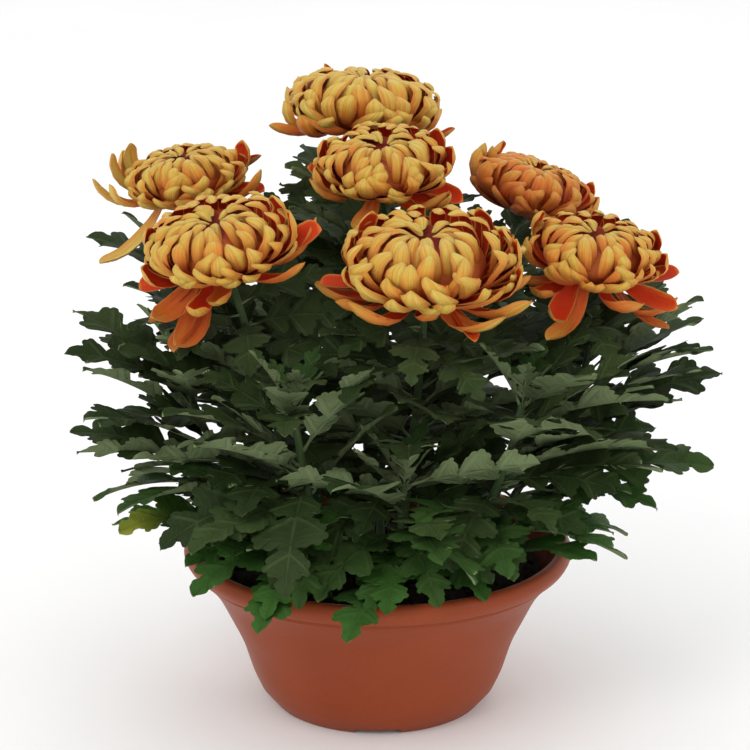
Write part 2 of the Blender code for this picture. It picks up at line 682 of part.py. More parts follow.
def make_stem(name, route, workshop):
    return tube("stem_" + name, route, stem_radii(route), 1, workshop)


def make_hole(name, route, workshop):
    """The cutter for a stem's hole in the compost."""
    clear = SOIL_TOP + SOIL_CROWN + 2 * MM
    count = 1 + next(k for k, point in enumerate(route) if point.z > clear)
    points = [route[0] - Vector((0.0, 0.0, GAP))] + route[1:count]
    return tube("hole_" + name, points, [r + GAP for r in stem_radii(route)[:count]], 1, workshop)


def make_cup(route, axis, workshop):
    """The green cup of bracts that carries a bloom, a flared piece at the top of its stem."""
    top = route[-1] + axis * CUP_HEIGHT
    points = [route[-1] - axis * 2 * MM, route[-1] + axis * 0.45 * CUP_HEIGHT, top]
    return tube("cup", points, (STEM_TOP_RADIUS, 0.8 * CUP_RADIUS, CUP_RADIUS), 1, workshop)


def main():
    clear_scene()
    part = new_collection("pot_chrysanthemum")
    workshop = new_collection("workshop")
    green = material("leaf_green", (0.045, 0.095, 0.035), 0.6)
    bronze = material("petal_bronze", (0.72, 0.38, 0.07), 0.55)
    clay = material("pot_terracotta", (0.36, 0.10, 0.045), 0.5)
    earth = material("compost", (0.02, 0.014, 0.01), 0.95)

    pot, inside = make_pot(part, workshop)
    pot.data.materials.append(clay)
    soil = make_soil(inside, part)
    soil.data.materials.append(earth)
    bpy.context.view_layer.update()
    pot_tree = BVHTree.FromObject(pot, bpy.context.evaluated_depsgraph_get())
    soil_tree = BVHTree.FromObject(soil, bpy.context.evaluated_depsgraph_get())

    routes = {}
    stems = {}
    stem_trees = {}
    plans = {}
    holes = []
    for name, centre, radius, lean, toward, seed in BLOOMS:
        route, axis = stem_route(centre, radius, lean, toward)
        routes[name] = route
        stems[name] = [make_stem(name, route, workshop), make_cup(route, axis, workshop)]
        leaves, draw = leaves_of(route, LEAVES_A_STEM, route[-1].z - LEAF_BELOW_BLOOM, seed)
        plans[name] = (leading_leaves(name, route) + leaves, draw)
    for name, azimuth, reach, height, seed in SHOOTS:
        route = shoot_route(azimuth, reach, height)
        routes[name] = route
        stems[name] = [make_stem(name, route, workshop)]
        leaves, draw = leaves_of(route, LEAVES_A_SHOOT, route[-1].z - LEAF_BELOW_TIP, seed)
        plans[name] = (leading_leaves(name, route) + leaves, draw)
    for name, route in routes.items():
        stem_trees[name] = [tree_of_object(piece) for piece in stems[name]]
        holes.append(make_hole(name, route, workshop))
    cut(soil, holes)

    trees = {}
    for name, centre, radius, lean, toward, seed in BLOOMS:
        matrix = frame_at(bloom_foot(centre, radius, lean, toward), lean, toward)
        standing = [t for group in trees.values() for t in group]
        standing += [t for other in routes if other != name for t in stem_trees[other]]
        bloom, trees[name] = make_bloom(name, radius * MM, matrix, seed, standing, part, workshop)
        bloom.data.materials.append(bronze)

    standing = [pot_tree, soil_tree] + [t for group in trees.values() for t in group]
    leaf_trees = {name: [] for name in routes}
    placed = {name: [] for name in routes}
    for k in range(max(len(leaves) for leaves, draw in plans.values())):
        for name in routes:
            leaves, draw = plans[name]
            if k >= len(leaves):
                continue
            others = [t for other in routes if other != name for t in stem_trees[other] + leaf_trees[other]]
            found = clear_leaf(leaves[k], draw, standing + others + leaf_trees[name][-NEIGHBOURS_CLEAR:])
            if found:
                placed[name].append(found[0])
                leaf_trees[name].append(found[1])
    for name in routes:
        pieces = stems[name]
        for k, form in enumerate(placed[name]):
            points, faces = leaf_body(*form, LEAF_THICK)
            pieces.append(object_of(f"leaf_{k}", points, faces, workshop))
        node = "leafy_stem_" + name if name in LOOSE else "leafy_shoot_" + name
        stem = joined(node, pieces, part, workshop)
        stem.data.materials.append(green)


main()
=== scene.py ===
import math
import random

import bpy
import numpy as np
from mathutils import Matrix, Vector, noise
from mathutils.bvhtree import BVHTree
from mathutils.geometry import interpolate_bezier


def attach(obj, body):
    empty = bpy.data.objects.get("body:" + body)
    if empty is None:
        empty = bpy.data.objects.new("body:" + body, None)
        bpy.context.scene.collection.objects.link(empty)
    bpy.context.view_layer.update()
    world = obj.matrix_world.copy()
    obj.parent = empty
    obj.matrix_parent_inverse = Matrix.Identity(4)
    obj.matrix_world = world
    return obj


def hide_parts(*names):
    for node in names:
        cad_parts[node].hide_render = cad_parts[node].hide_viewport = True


# Looks of a pot chrysanthemum: seven bronze incurved blooms on leafy stems in a terracotta-coloured bowl
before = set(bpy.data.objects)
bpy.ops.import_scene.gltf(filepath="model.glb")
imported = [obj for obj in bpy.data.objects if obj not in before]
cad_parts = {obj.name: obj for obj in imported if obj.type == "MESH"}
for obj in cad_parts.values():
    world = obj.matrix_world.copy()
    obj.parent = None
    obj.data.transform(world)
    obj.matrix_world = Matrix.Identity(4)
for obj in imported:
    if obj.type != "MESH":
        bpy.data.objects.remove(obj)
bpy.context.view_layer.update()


def make_camera():
    data = bpy.data.cameras.new("camera")
    data.lens = 129.293
    data.sensor_width = 36.0
    data.clip_end = 60.0
    camera = bpy.data.objects.new("camera", data)
    bpy.context.scene.collection.objects.link(camera)
    pitch, yaw = math.radians(16.59), math.radians(0.064)
    level = math.cos(pitch)
    forward = Vector((-math.sin(yaw) * level, math.cos(yaw) * level, -math.sin(pitch)))
    camera.location = (0.0, -1.5035, 0.6472)
    camera.rotation_euler = forward.to_track_quat("-Z", "Y").to_euler()
    bpy.context.scene.camera = camera


make_camera()

# The same measures and rules as the solids
MM = 0.001
GAP = 0.3 * MM
POT_WALL = 2.4 * MM
POT_FOOT_RADIUS = 62.0 * MM
POT_FLOOR_UNDER = 4.0 * MM
POT_PAD_RADIUS = 18.0 * MM
POT_RING_INNER = 53.0 * MM
POT_OUTSIDE_MM = ((113.0, 97.0), (114.8, 93.0), (113.2, 89.0), (104.2, 80.6), (96.2, 70.0), (88.0, 54.0),
                  (81.0, 39.0), (75.2, 21.0), (70.4, 10.0), (62.0, 0.0))
POT_LIP_MM = ((106.0, 95.6), (109.5, 98.2))
NOTCH_COUNT = 4
NOTCH_WIDTH = 27.0 * MM
NOTCH_HEIGHT = 3.52 * MM
DRAIN_COUNT = 4
DRAIN_RADIUS = 4.0 * MM
DRAIN_CIRCLE = 37.0 * MM
SOIL_TOP = 82.0 * MM
SOIL_CROWN = 5.0 * MM
STEM_RADIUS = 2.6 * MM
STEM_TOP_RADIUS = 2.0 * MM
STEM_ROOT = 34.0 * MM
STEM_POINTS = 8
CUP_RADIUS = 8.0 * MM
CUP_HEIGHT = 8.0 * MM
# Blooms: centre (mm), radius (mm), lean and the way it leans (degrees), seed
BLOOMS = (
    ("back", (-9.0, 98.0, 339.0), 44.0, 4.0, 20.0, 31),
    ("middle", (3.0, 14.0, 320.0), 37.0, 26.0, -92.0, 32),
    ("left_back", (-114.0, 52.0, 306.0), 40.0, 10.0, 205.0, 13),
    ("left_front", (-88.0, -52.0, 290.0), 40.0, 27.0, -118.0, 24),
    ("front", (26.0, -66.0, 281.0), 43.0, 20.0, -88.0, 25),
    ("right_back", (90.0, 62.0, 296.0), 38.0, 20.0, -5.0, 16),
    ("right_front", (122.0, -22.0, 277.0), 38.0, 22.0, -52.0, 57),
)
# Stem lines, as shares of the way out to the bloom and of the rise
STEM_OUT = 0.40
STEM_SPREAD = 0.12
STEM_RISE = 0.42
STEM_STRAIGHT = 0.8
SHOOT_RISE = 0.4
SHOOT_BOW = 0.012
DOME_FLAT = 0.60
CORE_SHARE = 0.62
PETAL_THICK = 1.4 * MM
LOOSE_CUP = 0.5
LOOSE_ROOT = (0.38, 0.12)
LOOSE_OUTLINE = ((0.0, 0.6), (0.50, 1.0), (0.86, 0.82))
DOME_DRAWS = 95  # random numbers that the solids' domes take before the loose petals
# Loose petals: azimuth, first slope and curl (degrees), length and width (mm)
LOOSE = {
    "back": ((180, -5, 85, 38, 12), (200, -35, 40, 42, 13), (118, 30, 60, 40, 10), (-10, -28, 60, 44, 13),
        (-42, -24, 60, 38, 14), (-74, -18, 95, 32, 14), (-112, -34, 50, 34, 14), (56, -10, 65, 40, 14)),
    "middle": ((-12, -20, 20, 36, 14), (14, -4, 50, 32, 14), (-108, -62, 20, 28, 13),
        (178, -14, 60, 32, 13), (-60, -44, 70, 34, 14), (-148, -36, 60, 34, 13)),
    "left_back": ((185, -10, 50, 42, 9), (172, 10, 55, 40, 9), (154, 20, 60, 38, 10), (-8, -14, 15, 34, 16),
        (208, -50, 2, 48, 11), (96, -8, 66, 38, 14), (48, -8, 60, 38, 14), (-84, -34, 50, 36, 14)),
    "left_front": ((-130, -63, -4, 50, 17), (-155, -54, -8, 46, 16), (188, -20, 15, 36, 14),
        (-5, 0, 15, 44, 17), (-24, -24, 50, 46, 9), (-46, -44, 50, 38, 12), (-92, -54, 70, 30, 14),
        (120, -10, 60, 34, 14)),
    "front": ((180, -8, 10, 42, 14), (196, -34, 25, 48, 16), (212, -46, 40, 38, 12),
        (-118, -52, 85, 42, 15), (-90, -50, 110, 30, 14), (-62, -58, 75, 44, 15), (-38, -38, 45, 50, 14),
        (-18, -24, 50, 46, 13), (12, 6, 62, 46, 14), (44, 0, 70, 40, 14)),
    "right_back": ((158, 26, 62, 34, 13), (186, 0, 80, 34, 13), (-6, -24, 30, 36, 14),
        (48, -16, 60, 38, 14), (100, -10, 66, 38, 14), (-64, -34, 50, 34, 14)),
    "right_front": ((-12, -28, 50, 44, 15), (6, -8, 45, 40, 14), (-34, -56, 70, 48, 12),
        (-98, -72, 20, 46, 12), (-148, -54, 20, 32, 12), (-66, -50, 70, 36, 14), (60, -6, 60, 34, 14)),
}
LOOSE_STEPS = 8
LOOSE_LEAN = 12.0
# How far a loose petal is shortened and lifted (degrees) until it is clear
LOOSE_TRIES = ((1.0, 0.0), (0.92, 12.0), (0.84, 24.0), (0.74, 36.0), (0.6, 46.0))
LOOSE_MARGIN = 1.0 * MM
# Shoots: azimuth, reach and height of the tip (mm), seed
SHOOTS = (
    ("front_left", 242.0, 98.0, 204.0, 21),
    ("front_middle", 280.0, 84.0, 160.0, 27),
    ("front_right", 318.0, 108.0, 204.0, 22),
    ("left", 182.0, 114.0, 208.0, 23),
    ("back_left", 124.0, 110.0, 216.0, 24),
    ("back_right", 66.0, 110.0, 216.0, 25),
    ("right", 8.0, 126.0, 212.0, 26),
)
SHOOT_ROOT = 58.0 * MM
LEAF_THICK = 0.8 * MM
LEAF_LENGTH = 98.0 * MM
# Leaves in the spiral up a stem: their number, and how far below its top the last one is (m)
UNDER_BLOOM = (7, 0.034)
ON_SHOOT = (5, 0.004)
LEAF_HALF = ((0.0, 0.013), (0.19, 0.018), (0.36, 0.175), (0.43, 0.09), (0.62, 0.24), (0.70, 0.11),
             (0.85, 0.165))
LEAF_RIB = (0.19, 0.43, 0.70)
# Triangles of half a leaf: its margin is 0 to 6, its tip 7 and its rib 8 to 10
LEAF_FAN = ((0, 1, 8), (1, 2, 8), (2, 3, 8), (3, 9, 8), (3, 4, 9), (4, 5, 9), (5, 10, 9), (5, 6, 10),
            (6, 7, 10))
LEAF_TRIES = 30
LEAF_CLEARANCE = 1.0 * MM
LEAF_FOLD = math.radians(12.0)
# Leaves that the photograph shows in front, over the rim and at the sides: height of the base (mm), azimuth,
# first slope and droop (degrees), length (mm) and how far the left edge is lifted (degrees)
LEADING = {
    "front_left": ((112, 214, 20, 62, 90, -8), (106, 246, 20, 64, 80, 6), (124, 186, 22, 56, 94, -14),
        (140, 228, 30, 52, 96, 0), (160, 200, 34, 30, 86, 30)),
    "front_middle": ((108, 264, 20, 60, 70, 0), (106, 302, 18, 50, 70, -20), (124, 326, 26, 52, 94, -30),
        (126, 232, 26, 60, 90, 10), (150, 196, 24, 18, 78, 40), (148, 344, 30, 24, 90, -36)),
    "front_right": ((118, 334, 20, 46, 96, -10), (124, 280, 24, 62, 80, 12), (160, 352, 26, 34, 96, -20),
        (180, 300, 34, 40, 90, -20)),
    "left": ((114, 208, 16, 32, 86, -20), (126, 224, 24, 40, 96, 16), (142, 176, 24, 26, 96, -20),
        (168, 196, 34, 26, 96, 16)),
    "right": ((132, 352, 16, 22, 112, 12), (122, 334, 20, 40, 92, 0), (160, 6, 28, 22, 106, 20),
        (180, 338, 36, 26, 94, -12)),
    "front": ((196, 186, 30, 16, 66, 34), (192, 344, 42, 32, 86, -34), (214, 238, 26, 58, 84, 8)),
}
# Leaves beyond those of the solids that the photograph shows in front: the low ones turn their tops to the
# viewer and the others their pale undersides
FACING = {
    "front_middle": ((146, 203, -2, 55, 92, -30), (134, 330, -2, 50, 66, 28), (118, 252, 6, 62, 62, 0),
        (160, 352, 16, 8, 78, -44), (130, 226, 2, 52, 74, -16), (126, 290, 4, 56, 66, 10)),
    "front_left": ((150, 196, 4, 46, 92, -26), (144, 224, 14, 44, 76, -14), (158, 262, -4, 60, 88, 10),
        (178, 330, 55, 10, 74, -20), (128, 262, 2, 58, 70, 8)),
    "front_right": ((146, 250, 4, 48, 78, -10), (136, 336, 12, 40, 62, 22), (158, 190, 2, 2, 70, 46),
        (132, 284, 6, 56, 64, 20)),
    "front": ((172, 192, 16, 10, 84, 44), (178, 352, 24, 8, 70, -44), (198, 200, 30, 10, 62, 40),
        (238, 262, 6, 50, 56, 0), (226, 304, 8, 50, 62, 16), (244, 210, 8, 44, 56, -16),
        (232, 338, 12, 30, 60, 20), (120, 280, 8, 40, 80, 0), (150, 250, 10, 40, 84, -8),
        (240, 172, 24, 30, 60, -45), (216, 190, 22, 30, 66, -45)),
    "right_front": ((168, 350, 22, 8, 60, -40), (228, 246, 4, 50, 58, -10), (238, 292, 4, 50, 56, 8),
        (216, 200, 10, 34, 62, -18), (240, 196, 14, 40, 54, 0), (180, 228, 6, 44, 74, 0)),
    "left_front": ((190, 250, 50, 10, 52, 0), (150, 196, 14, 12, 92, 40), (240, 276, 4, 50, 58, 10),
        (246, 228, 2, 50, 54, -8), (226, 322, 10, 40, 64, 18), (238, 346, 20, 30, 66, 45),
        (252, 10, 28, 30, 58, 40), (226, 4, 24, 30, 70, 40), (214, 296, 8, 44, 70, 0),
        (172, 300, 6, 44, 76, 0)),
    "left": ((150, 190, 10, 10, 84, 36),),
    "middle": ((262, 186, 38, 14, 66, 20), (286, 180, 34, 10, 62, 16), (290, 198, 48, 16, 52, -16),
        (246, 198, 28, 20, 68, 0), (236, 226, 16, 40, 72, 0), (250, 330, 16, 40, 70, 10),
        (160, 206, 12, 30, 90, 20), (176, 336, 12, 30, 90, -20), (190, 268, 6, 44, 84, 0),
        (146, 290, 12, 36, 84, 10), (206, 196, 14, 34, 84, 0), (212, 318, 12, 36, 80, 0),
        (232, 286, 10, 50, 70, 0), (258, 178, 14, 16, 70, -45)),
    "left_back": ((262, 250, 6, 40, 60, 0),),
    "back_left": ((152, 300, 8, 64, 86, 0), (190, 296, 10, 60, 80, 0), (168, 318, 8, 50, 80, 10)),
    "back_right": ((172, 240, 8, 60, 88, 0), (150, 232, 8, 64, 84, 0), (192, 262, 10, 60, 78, 0)),
    "right_back": ((240, 296, 20, 50, 66, 0),),
}
RIB_STEPS = 24
LOWEST_LEAF = 0.018  # above the edge of the compost (m)
GOLDEN_SHARE = 0.618
ANY_PHASE = 6.3  # about a whole turn, for random phases
UP_WAY = Vector((0.0, 0.0, 1.0))


def add_object(name, data):
    made = bpy.data.objects.new(name, data)
    bpy.context.scene.collection.objects.link(made)
    return made


def evaluated_mesh(piece):
    bpy.context.view_layer.update()
    return bpy.data.meshes.new_from_object(piece.evaluated_get(bpy.context.evaluated_depsgraph_get()))


def ways(azimuth):
    """The outward and the sideways direction at an azimuth."""
    x, y = math.cos(azimuth), math.sin(azimuth)
    return Vector((x, y, 0.0)), Vector((-y, x, 0.0))


def frame_at(foot, lean, toward):
    """The matrix of a bloom's own frame: its foot at the origin and its face along +Z."""
    turn = Matrix.Rotation(math.radians(toward), 4, "Z")
    tip = Matrix.Rotation(math.radians(lean), 4, "Y")
    return Matrix.Translation(foot) @ turn @ tip @ turn.inverted()


def bloom_foot(centre, radius, lean, toward):
    axis = frame_at(Vector(), lean, toward).to_3x3() @ UP_WAY
    return Vector(centre) * MM - axis * (radius * MM * DOME_FLAT * CORE_SHARE)


def stem_ends(centre, radius, lean, toward):
    """The four points of the Bezier line that a stem follows, and its bloom's axis."""
    foot = bloom_foot(centre, radius, lean, toward)
    axis = (frame_at(foot, lean, toward).to_3x3() @ UP_WAY).normalized()
    flat = Vector((centre[0], centre[1], 0.0)) * MM
    root = flat * STEM_OUT + UP_WAY * (SOIL_TOP - STEM_ROOT)
    rise = (foot.z - root.z) * STEM_RISE
    top = foot - axis * (CUP_HEIGHT + GAP)
    low = root + UP_WAY * rise + flat * STEM_SPREAD
    return (root, low, top - axis * rise * STEM_STRAIGHT, top), axis


def shoot_ends(azimuth, reach, height):
    outward = ways(math.radians(azimuth))[0]
    root = outward * SHOOT_ROOT + UP_WAY * (SOIL_TOP - STEM_ROOT)
    top = outward * reach * MM + UP_WAY * (height * MM)
    rise = UP_WAY * ((top.z - root.z) * SHOOT_RISE)
    return root, root + rise, top - rise - outward * SHOOT_BOW, top


def route_of(ends, count):
    return [Vector(p) for p in interpolate_bezier(*ends, count)]


def stem_radii(route):
    count = len(route) - 1
    return [STEM_RADIUS + (STEM_TOP_RADIUS - STEM_RADIUS) * k / count for k in range(count + 1)]


def lathe(profile, sides):
    """Points and faces of a profile turned about Z; a point on the axis is there once."""
    points, rows, faces = [], [], []
    turns = [2 * math.pi * k / sides for k in range(sides)]
    for r, z in profile:
        ring = [(r * math.cos(turn), r * math.sin(turn), z) for turn in (turns if r > 1e-9 else turns[:1])]
        rows.append([len(points) + k % len(ring) for k in range(sides)])
        points += ring
    for low, high in zip(rows, rows[1:]):
        for k in range(sides):
            j = (k + 1) % sides
            face = tuple(dict.fromkeys((low[k], low[j], high[j], high[k])))
            if len(face) > 2:
                faces.append(face)
    return points, faces


def tree_of(points, faces):
    return BVHTree.FromPolygons([tuple(p) for p in points], faces)


def tree_of_mesh(mesh):
    return tree_of([v.co for v in mesh.vertices], [tuple(p.vertices) for p in mesh.polygons])


def tube_tree(points, radii):
    """The tree of a round bar of six sides, as the solids' stems are."""
    curve = bpy.data.curves.new("line", "CURVE")
    curve.dimensions = "3D"
    curve.bevel_depth = 1.0
    curve.bevel_resolution = 1
    curve.use_fill_caps = True
    spline = curve.splines.new("POLY")
    spline.points.add(len(points) - 1)
    for slot, point, radius in zip(spline.points, points, radii):
        slot.co = (*point, 1.0)
        slot.radius = radius
    guide = add_object("line", curve)
    mesh = evaluated_mesh(guide)
    tree = tree_of_mesh(mesh)
    bpy.data.objects.remove(guide, do_unlink=True)
    bpy.data.meshes.remove(mesh)
    return tree


def loft(rings, tip):
    count = len(rings[0])
    points = [p for ring in rings for p in ring] + [tip]
    faces = [tuple(range(count))]
    for k in range(len(rings) - 1):
        for i in range(count):
            j = (i + 1) % count
            a, b, c, d = k * count + i, k * count + j, (k + 1) * count + j, (k + 1) * count + i
            faces += [(a, b, c), (a, c, d)]
    last = (len(rings) - 1) * count
    faces += [(last + i, last + (i + 1) % count, len(points) - 1) for i in range(count)]
    return points, faces


def skirt_line(radius, start, curl, length, steps):
    out, up = LOOSE_ROOT[0] * radius, LOOSE_ROOT[1] * radius
    line = [(out, up)]
    for k in range(steps):
        t = (k + 0.5) / steps
        slope = math.radians(start + curl * t ** 1.6)
        out += length / steps * math.cos(slope)
        up += length / steps * math.sin(slope)
        line.append((out, up))
    return line


def along_line(line, share):
    place = share * (len(line) - 1)
    k = min(int(place), len(line) - 2)
    (a, b), (c, d) = line[k], line[k + 1]
    part_way = place - k
    return a + (c - a) * part_way, b + (d - b) * part_way, c - a, d - b


def petal_shell(line, outline, azimuth, lean, half_width, cup, thick):
    rings = []
    for t, share in outline:
        radial, side = ways(azimuth + lean * t * t)
        out, up, step_out, step_up = along_line(line, t)
        along = (radial * step_out + UP_WAY * step_up).normalized()
        back = side.cross(along).normalized()
        centre = radial * out + UP_WAY * up
        width = half_width * share
        edge = centre - back * cup * width
        rings.append([edge - side * width, centre + back * thick * 0.5, edge + side * width,
                      centre - back * thick * 0.5])
    out, up = line[-1]
    return loft(rings, ways(azimuth + lean)[0] * out + UP_WAY * up)


def settled_petals(name, radius, matrix, seed, standing):
    """A bloom's loose petals in the forms that the solids settled on, clear of others, and their trees."""
    draw = random.Random(seed)
    for _ in range(DOME_DRAWS):
        draw.random()
    loose, trees = [], []
    leans = [math.radians(draw.uniform(-LOOSE_LEAN, LOOSE_LEAN)) for _ in LOOSE[name]]
    for (azimuth, slope, curl, length, width), lean in zip(LOOSE[name], leans):
        turn, half_width = math.radians(azimuth), width * MM / 2
        for shrink, lift in LOOSE_TRIES:
            line = skirt_line(radius, slope + lift, curl, length * MM * shrink, LOOSE_STEPS)
            points, faces = petal_shell(line, LOOSE_OUTLINE, turn, lean, half_width + LOOSE_MARGIN, LOOSE_CUP,
                                        PETAL_THICK + 2 * LOOSE_MARGIN)
            tree = tree_of([matrix @ p for p in points], faces)
            if not any(tree.overlap(other) for other in standing):
                loose.append((turn, slope + lift, curl, length * MM * shrink, half_width, lean))
                trees.append(tree)
                break
    return loose, trees


def leaf_body(base, azimuth, start, droop, length, fold, roll, thick):
    """Points and faces of the solids' plain lobed leaf, for the test that a leaf is clear of the others."""
    rib = [(0.0, 0.0)]
    slopes = []
    for k in range(RIB_STEPS):
        slope = math.radians(start - droop * ((k + 0.5) / RIB_STEPS) ** 1.4)
        slopes.append(slope)
        rib.append((rib[-1][0] + math.cos(slope) / RIB_STEPS, rib[-1][1] + math.sin(slope) / RIB_STEPS))
    outward, side = ways(azimuth)

    def place(x, y, z):
        k = min(int(x * RIB_STEPS), RIB_STEPS - 1)
        part_way = x * RIB_STEPS - k
        out = rib[k][0] + (rib[k + 1][0] - rib[k][0]) * part_way
        up = rib[k][1] + (rib[k + 1][1] - rib[k][1]) * part_way
        slope = slopes[k]
        normal = UP_WAY * math.cos(slope) - outward * math.sin(slope)
        centre = base + (outward * out + UP_WAY * up) * length
        across = side * math.cos(roll) + normal * math.sin(roll)
        lifted = normal * math.cos(roll) - side * math.sin(roll)
        height = abs(y) * math.sin(fold) * length + z
        return centre + across * (y * math.cos(fold) * length) + lifted * height

    outline = [*LEAF_HALF, (1.0, 0.0), *((x, -y) for x, y in LEAF_HALF[::-1])]
    flat = outline + [(x, 0.0) for x in LEAF_RIB]
    half, rim = len(LEAF_HALF), len(outline)
    spine = [half, *range(rim, rim + len(LEAF_RIB))]
    left, right = list(range(half)) + spine, list(range(rim - 1, half, -1)) + spine
    triangles = [tuple(left[n] for n in corners) for corners in LEAF_FAN]
    triangles += [tuple(right[n] for n in corners[::-1]) for corners in LEAF_FAN]
    triangles.append((0, rim, rim - 1))
    count = len(flat)
    points = []
    for sign in (0.5, -0.5):
        for x, y in flat:
            points.append(place(x, y, sign * thick * (1.0 + 1.4 * max(0.0, 1.0 - x / LEAF_RIB[0]))))
    faces = [(a, c, b) for a, b, c in triangles]
    faces += [(a + count, b + count, c + count) for a, b, c in triangles]
    for i in range(rim):
        j = (i + 1) % rim
        faces += [(i, j, j + count), (i, j + count, i + count)]
    return points, faces


def point_at_height(route, height):
    for low, high in zip(route, route[1:]):
        if low.z <= height <= high.z:
            return low.lerp(high, (height - low.z) / (high.z - low.z))
    return route[-1]


def leaves_of(route, count, below, seed):
    """Leaves in a spiral up a stem: base, azimuth, first slope, droop, length, fold and roll."""
    draw = random.Random(seed * 7)
    leaves = []
    low, high = SOIL_TOP + LOWEST_LEAF, route[-1].z - below
    for k in range(count):
        t = k / (count - 1)
        base = point_at_height(route, low + (high - low) * t)
        outward = math.atan2(base.y, base.x)
        spread = math.radians(104.0) if math.hypot(base.x, base.y) > 0.02 else math.pi
        azimuth = outward + spread * (2.0 * ((0.5 + k * GOLDEN_SHARE) % 1.0) - 1.0) + draw.uniform(-0.2, 0.2)
        size = 0.88 + 0.16 * math.sin(math.pi * t) - 0.16 * max(0.0, t - 0.8) / 0.2
        start = 22.0 + 24.0 * t + draw.uniform(-8.0, 8.0)
        droop = 46.0 - 26.0 * t + draw.uniform(-10.0, 10.0)
        length = LEAF_LENGTH * size * draw.uniform(0.93, 1.07)
        leaves.append((base, azimuth, start, droop, length, math.radians(draw.uniform(6.0, 18.0)), 0.0))
    return leaves, draw


def placed_leaves(rows, route):
    """The leaves that a table places on a stem, in the form that leaves_of gives."""
    return [(point_at_height(route, height * MM), math.radians(azimuth), start, droop, length * MM, LEAF_FOLD,
             math.radians(roll)) for height, azimuth, start, droop, length, roll in rows]


def clear_leaf(leaf, draw, standing):
    """The leaf turned, raised or shortened until it crosses nothing, or None."""
    base, azimuth, start, droop, length, fold, roll = leaf
    for attempt in range(LEAF_TRIES):
        spread = attempt / LEAF_TRIES
        form = (base, azimuth + draw.uniform(-1.5, 1.5) * spread, start + draw.uniform(-34.0, 34.0) * spread,
                droop + draw.uniform(-26.0, 26.0) * spread, length * (1.0 - 0.32 * spread * draw.random()),
                fold, roll)
        points, faces = leaf_body(*form, LEAF_THICK + LEAF_CLEARANCE)
        tree = tree_of(points, faces)
        if not any(tree.overlap(other) for other in standing):
            return form, tree
    return None


# Leaves that thicken the foliage: turns of them on every stem, then turns that face the viewer
THICKENING = 15
TOWARDS_VIEWER = 4
VIEWER_WAY = math.radians(270.0)
THICKENING_TRIES = 12
# Where added leaves start above the compost, and end below a bloom and below a shoot's tip (m)
THICKENING_FROM = 0.014
BELOW_BLOOM, BELOW_TIP = 0.030, 0.002
COST_KEPT = 2
RIM_LEVEL = 112.0 * MM  # an added leaf that hangs below this is taken only where nothing else is free
OVER_RIM_COST = 2
SOLID_COST, LEAF_COST, STEM_COST = 4, 1, 0.5
BLOOM_BALL, POT_BALL = 0.066, 0.15


def ball_of(points):
    middle = sum(points, Vector()) / len(points)
    return middle, max((p - middle).length for p in points)


class Crowd:
    """The trees of what stands already, each in a ball that tells quickly whether a new form can meet it."""

    def __init__(self):
        self.kept = []

    def add(self, tree, middle, reach, weight):
        self.kept.append((middle, reach, tree, weight))

    def cost(self, tree, middle, reach):
        return sum(weight for centre, radius, other, weight in self.kept
                   if (centre - middle).length < radius + reach and tree.overlap(other))


def drawn_leaf(route, low, high, share, way, draw):
    """A leaf near a share of the way up a stem, in the form that leaves_of gives."""
    height = min(1.0, max(0.0, share + draw.uniform(-0.1, 0.1)))
    base = point_at_height(route, low + (high - low) * height)
    azimuth = math.atan2(base.y, base.x) + draw.triangular(-2.8, 2.8, 0.0)
    if way == "to viewer":
        azimuth = VIEWER_WAY + draw.triangular(-1.4, 1.4, 0.0)
    elif way == "any":
        azimuth = draw.uniform(-3.1, 3.1)
    size = draw.uniform(0.60, 0.94) * (0.80 + 0.20 * min(1.0, share / 0.4))
    start, droop = draw.uniform(2.0, 28.0) + 22.0 * share, draw.uniform(36.0, 64.0) - 34.0 * share
    fold, roll = math.radians(draw.uniform(6.0, 20.0)), math.radians(draw.uniform(-32.0, 32.0))
    return base, azimuth, start, droop, LEAF_LENGTH * size, fold, roll


def more_leaves(routes, crowd):
    """Leaves beyond those of the solids, which thicken the foliage, each the clearest of a few tries."""
    extras = {name: [] for name in routes}
    draw = random.Random(77)
    for k in range(THICKENING + TOWARDS_VIEWER):
        for n, (name, route) in enumerate(routes.items()):
            if k >= THICKENING and name not in LOOSE:
                continue
            below = BELOW_BLOOM if name in LOOSE else BELOW_TIP
            low, high = SOIL_TOP + THICKENING_FROM, route[-1].z - below
            way = "to viewer" if k >= THICKENING else "any" if k % 2 and name in LOOSE else "outward"
            best = None
            for _ in range(THICKENING_TRIES):
                form = drawn_leaf(route, low, high, (k * GOLDEN_SHARE + n * 0.37) % 1.0, way, draw)
                points, faces = leaf_body(*form, LEAF_THICK)
                tree = tree_of(points, faces)
                ball = ball_of(points)
                cost = crowd.cost(tree, *ball) + OVER_RIM_COST * (min(p[2] for p in points) < RIM_LEVEL)
                if best is None or cost < best[0]:
                    best = (cost, form, tree, ball)
                if cost == 0:
                    break
            if best[0] <= COST_KEPT:
                crowd.add(best[2], *best[3], LEAF_COST)
                extras[name].append(best[1])
    return extras


